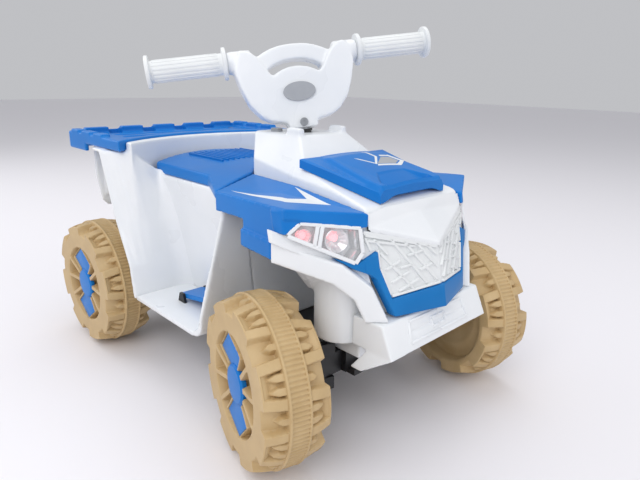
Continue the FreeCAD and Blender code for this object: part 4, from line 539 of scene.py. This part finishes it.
def draped(name, outline, height, piece, thick_mm, material):
    """A closed thin sheet on top of a piece: (x, y) corners at a height are dropped straight down on it."""
    along = Vector((0, 0, -1))
    work = bmesh.new()
    corners = [work.verts.new(Vector((x, y, height)) * MM) for x, y in outline]
    work.faces.new(corners)
    bmesh.ops.triangulate(work, faces=work.faces[:])
    for _ in range(SPLIT_ROUNDS):
        long_edges = [e for e in work.edges if e.calc_length() > SHEET_PITCH * MM]
        if not long_edges:
            break
        bmesh.ops.subdivide_edges(work, edges=long_edges, cuts=1)
        bmesh.ops.triangulate(work, faces=[f for f in work.faces if len(f.verts) > 3])
    shape = BVHTree.FromPolygons([v.co for v in piece.data.vertices], [p.vertices for p in piece.data.polygons])
    for vertex in work.verts:
        hit = shape.ray_cast(vertex.co - along * DROP, along)[0]
        if hit is None:
            hit = shape.find_nearest(vertex.co)[0]
        vertex.co = hit - along * (SHEET_LIFT * MM)
    for f in work.faces:
        f.normal_update()
        if f.normal.dot(along) > 0:
            f.normal_flip()
    thing = put(mesh_of(work, name), name, material)
    wall = thing.modifiers.new("wall", "SOLIDIFY")
    wall.thickness = thick_mm * MM
    wall.offset = 1.0
    return smooth_shading(baked(thing), 50)


# Body mouldings, some filled out with solids that the remesh joins to them

def mirrored(solids):
    """The solids and their mirror images on the other side."""
    return solids + [([(x, -y, z) for x, y, z in points], faces) for points, faces in solids]


# The tail's flank, as (x, z) lines: its front at the tunnel and outside, and the wheel arch behind it
FLANK_INNER = ((-101.5, 104), (-107, 150), (-119, 214))
FLANK_OUTER = ((-103, 104), (-111, 150), (-144.5, 214))
ARCH_BACK = ((-108, 104), (-116, 150), (-150, 214))
# The hollow corner between flank and tunnel, as places (x, z) and the curve's radius
COVE = ((-101.0, 98, 30), (-101.5, 104, 30), (-107, 150, 30), (-119, 214, 30), (-127, 252, 24), (-132, 274, 14),
        (-134, 288, 3))
COVE_DEPTH = 4.0  # below the faces that it joins
COVE_STEPS = 7


def tunnel_half(z):
    """Half the width of the seat tunnel at a height."""
    return 111.0 - 24.0 * max(281 - z, 0) / 169


def flank():
    """The right hand fill between backrest, wheel arch and seat tunnel, its front turning softly outwards."""
    def ring(half, turned, top_front, top_back, top):
        front = [(a + (b - a) * turned, z) for (a, z), (b, _) in zip(FLANK_INNER, FLANK_OUTER)]
        line = front + [(top_front, top), (top_back, top)] + list(reversed(ARCH_BACK))
        return [(x, -(half or tunnel_half(z)), z) for x, z in line]
    return loft([ring(None, 0.0, -136, -172, 286),
                 ring(145.0, 0.0, -133, -184, 308.7),
                 ring(157.5, 0.14, -132, -188, 317),
                 ring(169.0, 0.45, -157, -188, 316.5),
                 ring(181.0, 1.0, -182.5, -188, 316)])


def cove():
    """The right hand hollow curve that leads the flank into the seat tunnel's side."""
    turns = [math.pi / 2 * i / COVE_STEPS for i in range(COVE_STEPS + 1)]
    rings = []
    for x, z, reach in COVE:
        half = tunnel_half(z)
        arc = [(x + reach - reach * math.sin(a), half + reach - reach * math.cos(a)) for a in turns]
        back = [(x - COVE_DEPTH, half - COVE_DEPTH), (x + reach + COVE_DEPTH, half - COVE_DEPTH)]
        line = back + arc + [(x - COVE_DEPTH, half + reach + COVE_DEPTH)]
        rings.append([(px, -py, z) for px, py in line])
    return loft(rings)


def rear_flap():
    """The right hand end of the skirt behind the rear wheel."""
    outline = ((-100, 316), (-145, 316), (-146, 262), (-139, 216), (-130, 206), (-100, 206))
    return loft([[(x, y, z) for y, z in outline] for x in (-300, -293)])


# Lumps on the rack's rim, as places (x, y) and half sizes
RACK_LUMPS = ((-303, -164, 15, 8), (-258, -164, 17, 8), (-213, -164, 15, 8), (-322, -128, 7, 20),
              (-322, -64, 7, 20), (-322, 0, 7, 20))
LUMP_HEIGHTS = (324, 338)


def lump(x, y, a, b):
    """A plain block on the rack's rim."""
    return loft([[(x - a, y - b, z), (x + a, y - b, z), (x + a, y + b, z), (x - a, y + b, z)] for z in LUMP_HEIGHTS])


FILLS = {"tail_body": mirrored([flank(), cove(), rear_flap()]),
         "rear_rack": mirrored([lump(*places) for places in RACK_LUMPS])}
PIECE = {}
# Voxel size in millimetres and passes of smoothing
for node, voxel, passes, material in (
        ("tail_body", 2.2, 8, WHITE), ("left_footwell", 2.0, 5, WHITE), ("right_footwell", 2.0, 5, WHITE),
        ("console", 1.8, 16, WHITE), ("bumper_arms", 1.6, 12, WHITE), ("front_bumper", 1.5, 4, WHITE),
        ("nose_shield", 1.2, 9, WHITE), ("center_body", 2.2, 5, WHITE), ("nose_tower", 1.8, 5, WHITE),
        ("left_front_fender", 1.5, 5, BLUE), ("right_front_fender", 1.5, 5, BLUE), ("seat", 1.6, 12, BLUE),
        ("rear_rack", 1.6, 8, BLUE)):
    PIECE[node] = stand_for(rounded(node, voxel, passes, material, FILLS.get(node, ())), node)
stand_for(edged("grille_trim", 1.2, BLUE_TRIM), "grille_trim")
stand_for(edged("grille_panel", 0.6, WHITE_MATT), "grille_panel")


# Handlebar: a soft blow moulding drawn in its own plane, across along the grips and up along the column

BAR_LINE = Vector((0.5142, 0.8480, 0.1282)).normalized()
RAKE = math.radians(14)
COLUMN = Vector((-math.sin(RAKE), 0, math.cos(RAKE)))
BAR_FRONT = BAR_LINE.cross(COLUMN)
GRIP_MIDDLE = Vector((47.0, 0.0, 454.0))
BODY_HALF = ((0, -14.5), (8, -15), (18, -17.5), (26, -21), (32, -25), (38.5, -16), (50, 2), (56, 8), (64, 12),
             (72, 13), (82, -14), (80, -22), (76, -38), (67, -61), (54.5, -76.5), (42, -84), (24, -87.5),
             (20, -89), (20, -97))
BODY_THICK = 31
ARCH_HALF = ((0, 15.5), (16, 14.5), (30, 11.5), (42, 6.5), (53, 0), (45, -16), (36.5, -15.5), (27, -10),
             (13.5, -6), (0, -5))
ARCH_THICK = 24
# Sleeves and the bar inside the grips, as (start, end, radius) along the grips' line
TUBES = ((56, 89, 14.6), (-89, -56, 14.6), (60, 188, 9.8), (-188, -60, 9.8))
TUBE_STEPS = 48


def bar_slab(half, thick):
    """A slab in the handlebar's plane from the outline of its left half."""
    outline = list(half) + [(-a, b) for a, b in reversed(half) if a]
    return loft([[GRIP_MIDDLE + BAR_LINE * a + COLUMN * b + BAR_FRONT * side for a, b in outline]
                 for side in (-thick / 2, thick / 2)])


def bar_tube(start, end, radius):
    """A round bar along the grips' line."""
    turns = [2 * math.pi * i / TUBE_STEPS for i in range(TUBE_STEPS)]
    ring = [(math.cos(a) * radius, math.sin(a) * radius) for a in turns]
    return loft([[GRIP_MIDDLE + BAR_LINE * along + COLUMN * a + BAR_FRONT * b for a, b in ring]
                 for along in (start, end)])


HANDLEBAR = [bar_slab(BODY_HALF, BODY_THICK), bar_slab(ARCH_HALF, ARCH_THICK)] + [bar_tube(*tube) for tube in TUBES]
handlebar_mesh = with_solids(bpy.data.meshes.new("handlebar"), HANDLEBAR)
stand_for(moulding("handlebar_moulding", handlebar_mesh, 1.4, 34, WHITE), "handlebar")


# Hood: a skin over length and width with lowered sides, a crown, a front scoop and a rounded rim

HOOD_BACK, HOOD_LENGTH = 150.0, 114.0
HOOD_HALF, HOOD_TAPER = 77.0, 17.0
HOOD_TOP, HOOD_FALL = 334.8, 25.3
HOOD_LOW, HOOD_LOW_FALL = 323.3, 27.0
SCOOP_START = 0.70  # share of the length


def hood_heights(s, t):
    """The hood's upper and lower heights at shares of its length (0 to 1) and half width (-1 to 1)."""
    side = np.abs(t)
    low = HOOD_LOW - HOOD_LOW_FALL * s + 7.0 * step_up(s, 0.9, 1.0) * (1 - step_up(side, 0.5, 1.0))
    top = HOOD_TOP - HOOD_FALL * s
    plateau = 0.60 + 0.34 * np.clip(s / 0.85, 0, 1)
    top += 5.2 * (1 - step_up(side, plateau - 0.05, plateau + 0.05)) * step_up(s, 0.02, 0.22)
    top += 1.6 * (1 - np.clip(side / 0.6, 0, 1) ** 2)
    into = s - SCOOP_START
    scoop = step_up(s, SCOOP_START, 0.72) * bar(t + 0.05, 0.36 + 0.34 * np.clip(into / 0.2, 0, 1), 0.03)
    top -= scoop * (1 - step_up(s, 0.955, 0.97)) * (0.8 + 6.0 * np.clip(into / 0.25, 0, 1))
    top -= 3.5 * step_up(s, 0.965, 1.0)
    top -= 1.6 * np.maximum(step_up(side, 0.965, 1.0), 1 - step_up(s, 0.0, 0.02))
    return top, low


def hood_shape():
    """The hood as one closed skin in metres."""
    long_shares = np.concatenate([[0.0, 0.004], np.linspace(0.012, 0.985, 74), [0.996, 1.0]])
    wide_shares = np.concatenate([[-1.0, -0.994], np.linspace(-0.98, 0.98, 98), [0.994, 1.0]])
    s, t = np.meshgrid(long_shares, wide_shares, indexing="ij")
    x = HOOD_BACK + HOOD_LENGTH * s
    y = t * (HOOD_HALF - HOOD_TAPER * s)
    rows, columns = s.shape
    points = np.concatenate([np.stack([x, y, z], axis=-1).reshape(-1, 3) for z in hood_heights(s, t)]) * MM
    faces = []
    under = rows * columns
    for i in range(rows - 1):
        for j in range(columns - 1):
            a = i * columns + j
            faces.append((a, a + columns, a + columns + 1, a + 1))
            faces.append((under + a, under + a + 1, under + a + columns + 1, under + a + columns))
    place = np.arange(under).reshape(rows, columns)
    ring = [*place[0], *place[1:, -1], *place[-1, -2::-1], *place[-2:0:-1, 0]]
    for a, b in zip(ring, ring[1:] + ring[:1]):
        faces.append((a, b, under + b, under + a))
    return mesh_from("hood_skin", points, faces)


PIECE["hood"] = stand_for(smooth_shading(put(hood_shape(), "hood_moulding", BLUE), 45), "hood")


# Fluted grips, seat ribs, prints on hood and fenders

FLUTES = dict(Bar_Size=(0.0024, 0.0036, 0.084), Count=16, Ring_Radius=0.0134, In_Ring=True)
GRIP_OUT = 142.0  # from the handlebar's middle to a grip's
for side, node in ((1, "left_grip"), (-1, "right_grip")):
    stand_for(edged(node, 1.0, WHITE_MATT), node)
    flutes = bars(node + "_flutes", WHITE_MATT, 0.6, **FLUTES)
    out = BAR_LINE * side
    axes = (COLUMN, out.cross(COLUMN), out, (GRIP_MIDDLE + out * GRIP_OUT) * MM)
    flutes.data.transform(Matrix([[axis[i] for axis in axes] for i in range(3)] + [[0, 0, 0, 1]]))
    carried(flutes, "steering")

SEAT_RIBS = dict(Bar_Size=(0.096, 0.0032, 0.0044), Count=11, Start=(-0.100, -0.050, 0.3052), Step=(0.0, 0.010, 0.0))
carried(bars("seat_ribs", BLUE, 0.5, **SEAT_RIBS), "body")

# Prints as (x, y) outlines; the fenders' is for the left and is mirrored for the right
PRINT_THICK, INLAY_THICK = 0.2, 0.15
FENDER_DROP, HOOD_DROP = 300, 330
FENDER_STRIPE = ((93, 137), (140, 141), (199, 141), (227, 99), (206, 96), (152, 86), (193, 104), (185, 126),
                 (140, 135))
HOOD_MOTIFS = (
    ((163, 19), (188, 21), (210, -4), (185, -19), (188, -14.5), (206, -3.5), (187, 17), (166, 16)),
    ((182.5, 30), (184, 47), (207.6, 51.5), (220, 31), (214, -6.6), (210, -3), (214.5, 29), (205.5, 46), (188, 43),
     (186.5, 28)))
HOOD_INLAY = ((191, 41), (204.5, 43.5), (212.5, 28.5), (208.5, -1.5), (189, 27))
for side, node in zip(RIGHT_LEFT, ("right_front_fender", "left_front_fender")):
    outline = [(x, side * y) for x, y in FENDER_STRIPE]
    stripe = draped(node + "_stripe", outline, FENDER_DROP, PIECE[node], PRINT_THICK, WHITE_MATT)
    carried(stripe, "body")
for index, outline in enumerate(HOOD_MOTIFS):
    motif = draped("hood_motif_%d" % index, outline, HOOD_DROP, PIECE["hood"], PRINT_THICK, WHITE_MATT)
    carried(motif, "body")
carried(draped("hood_inlay", HOOD_INLAY, HOOD_DROP, PIECE["hood"], INLAY_THICK, GREY), "body")


# Nose: bars and plates that follow its front face, given as (y, z) places on one side

def nose_x(y, z, depth):
    """The front face of the nose at a place, or some depth behind it, in millimetres."""
    wide = max(abs(y) - 97.0, 0.0)
    return 305.0 + 0.22 * (251.0 - z) - 0.30 * (abs(y) - wide) - 0.65 * wide - depth


def bumper_x(y, z, depth):
    """The leaning front face of the bumper, the same all across, or some depth behind it, in millimetres."""
    return 304.0 + 0.457 * (174.0 - z) - depth


BAR_TOP = 0.7  # a bar's width on top, as a share of its width on the face
BAR_END = 0.4  # how far its ends lean in, as a share of its height
BAR_SIDES = ((0, 3, 2, 1), (4, 5, 6, 7), (0, 1, 5, 4), (1, 2, 6, 5), (2, 3, 7, 6), (3, 0, 4, 7))


def face_bar(work, face, start, end, width, depth, height):
    """Adds a bar along a face between two (y, z) places to a mesh being built."""
    a = Vector((face(start[0], start[1], depth), start[0], start[1]))
    b = Vector((face(end[0], end[1], depth), end[0], end[1]))
    run = (b - a).normalized()
    y, z = (a.y + b.y) / 2, (a.z + b.z) / 2
    slope_y = face(y - 0.5, z, 0) - face(y + 0.5, z, 0)
    slope_z = face(y, z - 0.5, 0) - face(y, z + 0.5, 0)
    out = Vector((1.0, slope_y, slope_z)).normalized()
    wide = out.cross(run).normalized() * (width / 2)
    narrow = wide * BAR_TOP
    lean, rise = run * height * BAR_END, out * height
    foot = [a - wide - out, a + wide - out, b + wide - out, b - wide - out]
    top = [a - narrow + lean + rise, a + narrow + lean + rise, b + narrow - lean + rise, b - narrow - lean + rise]
    verts = [work.verts.new(p * MM) for p in foot + top]
    for side in BAR_SIDES:
        work.faces.new([verts[i] for i in side])


def bars_on_face(name, face, places, width, depth, height, material):
    """Both sides' bars as one soft edged mesh."""
    work = bmesh.new()
    for side in RIGHT_LEFT:
        for start, end in places:
            face_bar(work, face, (side * start[0], start[1]), (side * end[0], end[1]), width, depth, height)
    bmesh.ops.recalc_face_normals(work, faces=work.faces)
    thing = put(mesh_of(work, name), name, material)
    return smooth_shading(bevelled(thing, 0.5), 50)


def face_plate(name, outline, back, front, material):
    """A plate that follows the nose on both sides, from (y, z) corners and depths behind its face."""
    solids = [loft([[(nose_x(y, z, depth), side * y, z) for y, z in outline] for depth in (back, front)])
              for side in RIGHT_LEFT]
    thing = put(with_solids(bpy.data.meshes.new(name), solids), name, material)
    return smooth_shading(bevelled(thing, 0.8), 40)


GRILLE_BARS = (((62, 262), (20, 206)), ((46, 258), (6, 208)), ((76, 248), (38, 202)), ((30, 254), (3, 222)),
               ((82, 263), (66, 244)), ((71, 228), (51, 236)), ((66, 213), (41, 223)), ((58, 203), (30, 213)),
               ((42, 240), (20, 244)), ((16, 250), (3, 236)), ((92, 268), (2, 245)), ((90, 262), (30, 249)),
               ((78, 231), (68, 200)), ((68, 199), (2, 205)), ((78, 231), (78, 252)), ((54, 228), (36, 230)),
               ((28, 222), (10, 228)), ((86, 250), (92, 266)))
BROW = (((94, 271.5), (1, 246.5)),)
WING = ((124, 246), (104, 239.5), (90, 246), (86, 224), (106, 233))
SILL = ((172, 276), (106, 241), (90, 236), (86, 212), (108, 224), (172, 262))
CORNER = ((100, 287), (86, 283), (86, 264), (100, 268))
BUMPER_BARS = (((52, 168), (0, 168)), ((52, 168), (57, 147)), ((57, 147), (0, 147)), ((13, 162), (0, 162)),
               ((13, 162), (13, 153)), ((13, 153), (0, 153)))
BEZEL = (((163, 272.5), (151, 283.5)), ((151, 284), (97, 277)), ((98, 277), (98, 251)), ((98, 251), (106, 240)),
         ((106, 240.5), (163, 271.5)), ((131, 281), (137, 257)), ((135, 282), (141, 259)))
# Bars have a width, the depth of their foot and a height; plates have a back and a front depth
for piece, slot in (
        (bars_on_face("grille_relief", nose_x, GRILLE_BARS, 3.6, 4.0, 2.8, WHITE_MATT), "white_plastic"),
        (bars_on_face("brow_ledge", nose_x, BROW, 5.5, 3.0, 1.6, WHITE_MATT), "white_plastic"),
        (face_plate("trim_wings", WING, 8.0, -0.5, BLUE_TRIM), "blue_plastic"),
        (face_plate("lamp_sills", SILL, 16.0, 8.0, WHITE), "white_plastic"),
        (face_plate("lamp_corners", CORNER, 20.0, 5.0, WHITE), "white_plastic"),
        (bars_on_face("bumper_relief", bumper_x, BUMPER_BARS, 4.0, 0.6, 2.2, WHITE), "white_plastic"),
        (bars_on_face("lamp_bezels", nose_x, BEZEL, 5.0, -0.2, 1.4, WHITE), "white_plastic")):
    carried(piece, "body")


# Head lamps: chromed bowls round the lit lamps, behind the clear cover

BOWLS = ((145.8, 269.0, 8.0), (117.4, 263.5, 12.5))  # y, z and radius on one side
BOWL_DEPTH = 8.0
BOWL_BEHIND = 5.0  # the nose's face
BOWL_STEPS = 48
BOWL_FLUTES, FLUTE_HEIGHT = 12, 0.05
# The bowl's rim, in millimetres back, and its wall, in shares of the depth, both with shares of the radius
BOWL_RIM = ((1.0, 0.0), (1.06, 0.4), (1.0, 1.2))
BOWL_WALL = ((0.86, 0.25), (0.66, 0.62), (0.4, 0.9), (0.12, 1.0))
FLUTED = (0.3, 0.95)  # the shares of the radius between which the wall is fluted


def bowl(work, centre, out, radius):
    """Adds a fluted bowl that opens along a direction to a mesh being built."""
    side = out.cross(Vector((0, 0, 1))).normalized()
    up = side.cross(out)
    rings = []
    for share, back in BOWL_RIM + tuple((share, part * BOWL_DEPTH) for share, part in BOWL_WALL):
        ring = []
        for i in range(BOWL_STEPS):
            angle = 2 * math.pi * i / BOWL_STEPS
            wave = FLUTE_HEIGHT * math.cos(angle * BOWL_FLUTES) if FLUTED[0] < share < FLUTED[1] else 0.0
            ray = side * math.cos(angle) + up * math.sin(angle)
            ring.append(work.verts.new((centre - out * back + ray * radius * share * (1 + wave)) * MM))
        rings.append(ring)
    for inner, outer in zip(rings, rings[1:]):
        for i in range(BOWL_STEPS):
            k = (i + 1) % BOWL_STEPS
            work.faces.new((inner[i], inner[k], outer[k], outer[i]))
    work.faces.new(rings[-1])


def lamp_bowls():
    """The four chromed bowls in the head lamps."""
    work = bmesh.new()
    for side in RIGHT_LEFT:
        out = Vector((1.0, side * 0.5, 0.12)).normalized()
        for y, z, radius in BOWLS:
            bowl(work, Vector((nose_x(y, z, BOWL_BEHIND), side * y, z)), out, radius)
    return smooth_shading(put(mesh_of(work, "lamp_bowls"), "lamp_bowls", CHROME), 50)


carried(lamp_bowls(), "body")


# Every CAD node that still shows gets its finish

for node, thing in NODES.items():
    if not thing.hide_render:
        thing.data.materials.clear()
        thing.data.materials.append(MATERIAL_OF_SLOT[SLOT_OF[node]])


# Studio: a pale floor, soft lamps and a camera at the photograph's view

FLOOR_HALF, FLOOR_BELOW = 9, 0.0005  # metres
# The solved camera: rows are its right, down and forward directions
CAMERA_ROWS = ((0.692150, 0.721494, 0.019342),
               (0.220778, -0.186132, -0.957399),
               (-0.687158, 0.666934, -0.288121))
CAMERA_PLACE = (633.1, -509.0, 427.9)
CAMERA_FOCUS = 540.7  # pixels
PHOTO_WIDTH = 640
SENSOR = 36.0


def studio_floor():
    """A wide flat floor, pale and matt."""
    a, z = FLOOR_HALF, -FLOOR_BELOW
    mesh = mesh_from("sweep", [(-a, -a, z), (a, -a, z), (a, a, z), (-a, a, z)], [(0, 1, 2, 3)])
    material = bpy.data.materials.new("pale_floor")
    material.use_nodes = True
    tuned(material, Base_Color=linear("#F0EEF2"), Roughness=0.6)
    floor = put(mesh, "studio_floor", material)


def lamp(name, place, aim, size, watts):
    """A soft square lamp that points at a place."""
    light = bpy.data.lights.new(name, "AREA")
    light.shape = "SQUARE"
    light.size = size
    light.energy = watts
    thing = bpy.data.objects.new(name, light)
    thing.location = place
    thing.rotation_euler = (Vector(aim) - Vector(place)).to_track_quat("-Z", "Y").to_euler()
    bpy.context.scene.collection.objects.link(thing)


def camera():
    """The photograph's camera, its optical axis through the middle of the picture."""
    thing = bpy.data.objects.new("camera", bpy.data.cameras.new("camera"))
    right, down, forward = CAMERA_ROWS
    thing.matrix_world = Matrix([[right[i], -down[i], -forward[i], CAMERA_PLACE[i] * MM] for i in range(3)]
                                + [[0, 0, 0, 1]])
    thing.data.sensor_fit = "HORIZONTAL"
    thing.data.sensor_width = SENSOR
    thing.data.lens = CAMERA_FOCUS / PHOTO_WIDTH * SENSOR
    thing.data.clip_start = 0.01
    bpy.context.scene.collection.objects.link(thing)
    bpy.context.scene.camera = thing


studio_floor()
lamp("key_lamp", (1.0, -1.9, 1.9), (0, 0, 0.2), 2.0, 31)
lamp("fill_lamp", (2.2, 1.2, 1.4), (0, 0, 0.2), 2.0, 12)
lamp("top_lamp", (-0.4, 0.3, 2.6), (0, 0, 0.2), 2.2, 20)
lamp("rear_lamp", (-1.9, -0.9, 1.3), (0, 0, 0.25), 1.6, 11)
camera()
world = bpy.data.worlds.new("studio")
world.use_nodes = True
bpy.context.scene.world = world
background = world.node_tree.nodes["Background"]
background.inputs["Color"].default_value = linear("#EDEEF2")
background.inputs["Strength"].default_value = 0.62
bpy.context.scene.view_settings.view_transform = "Standard"
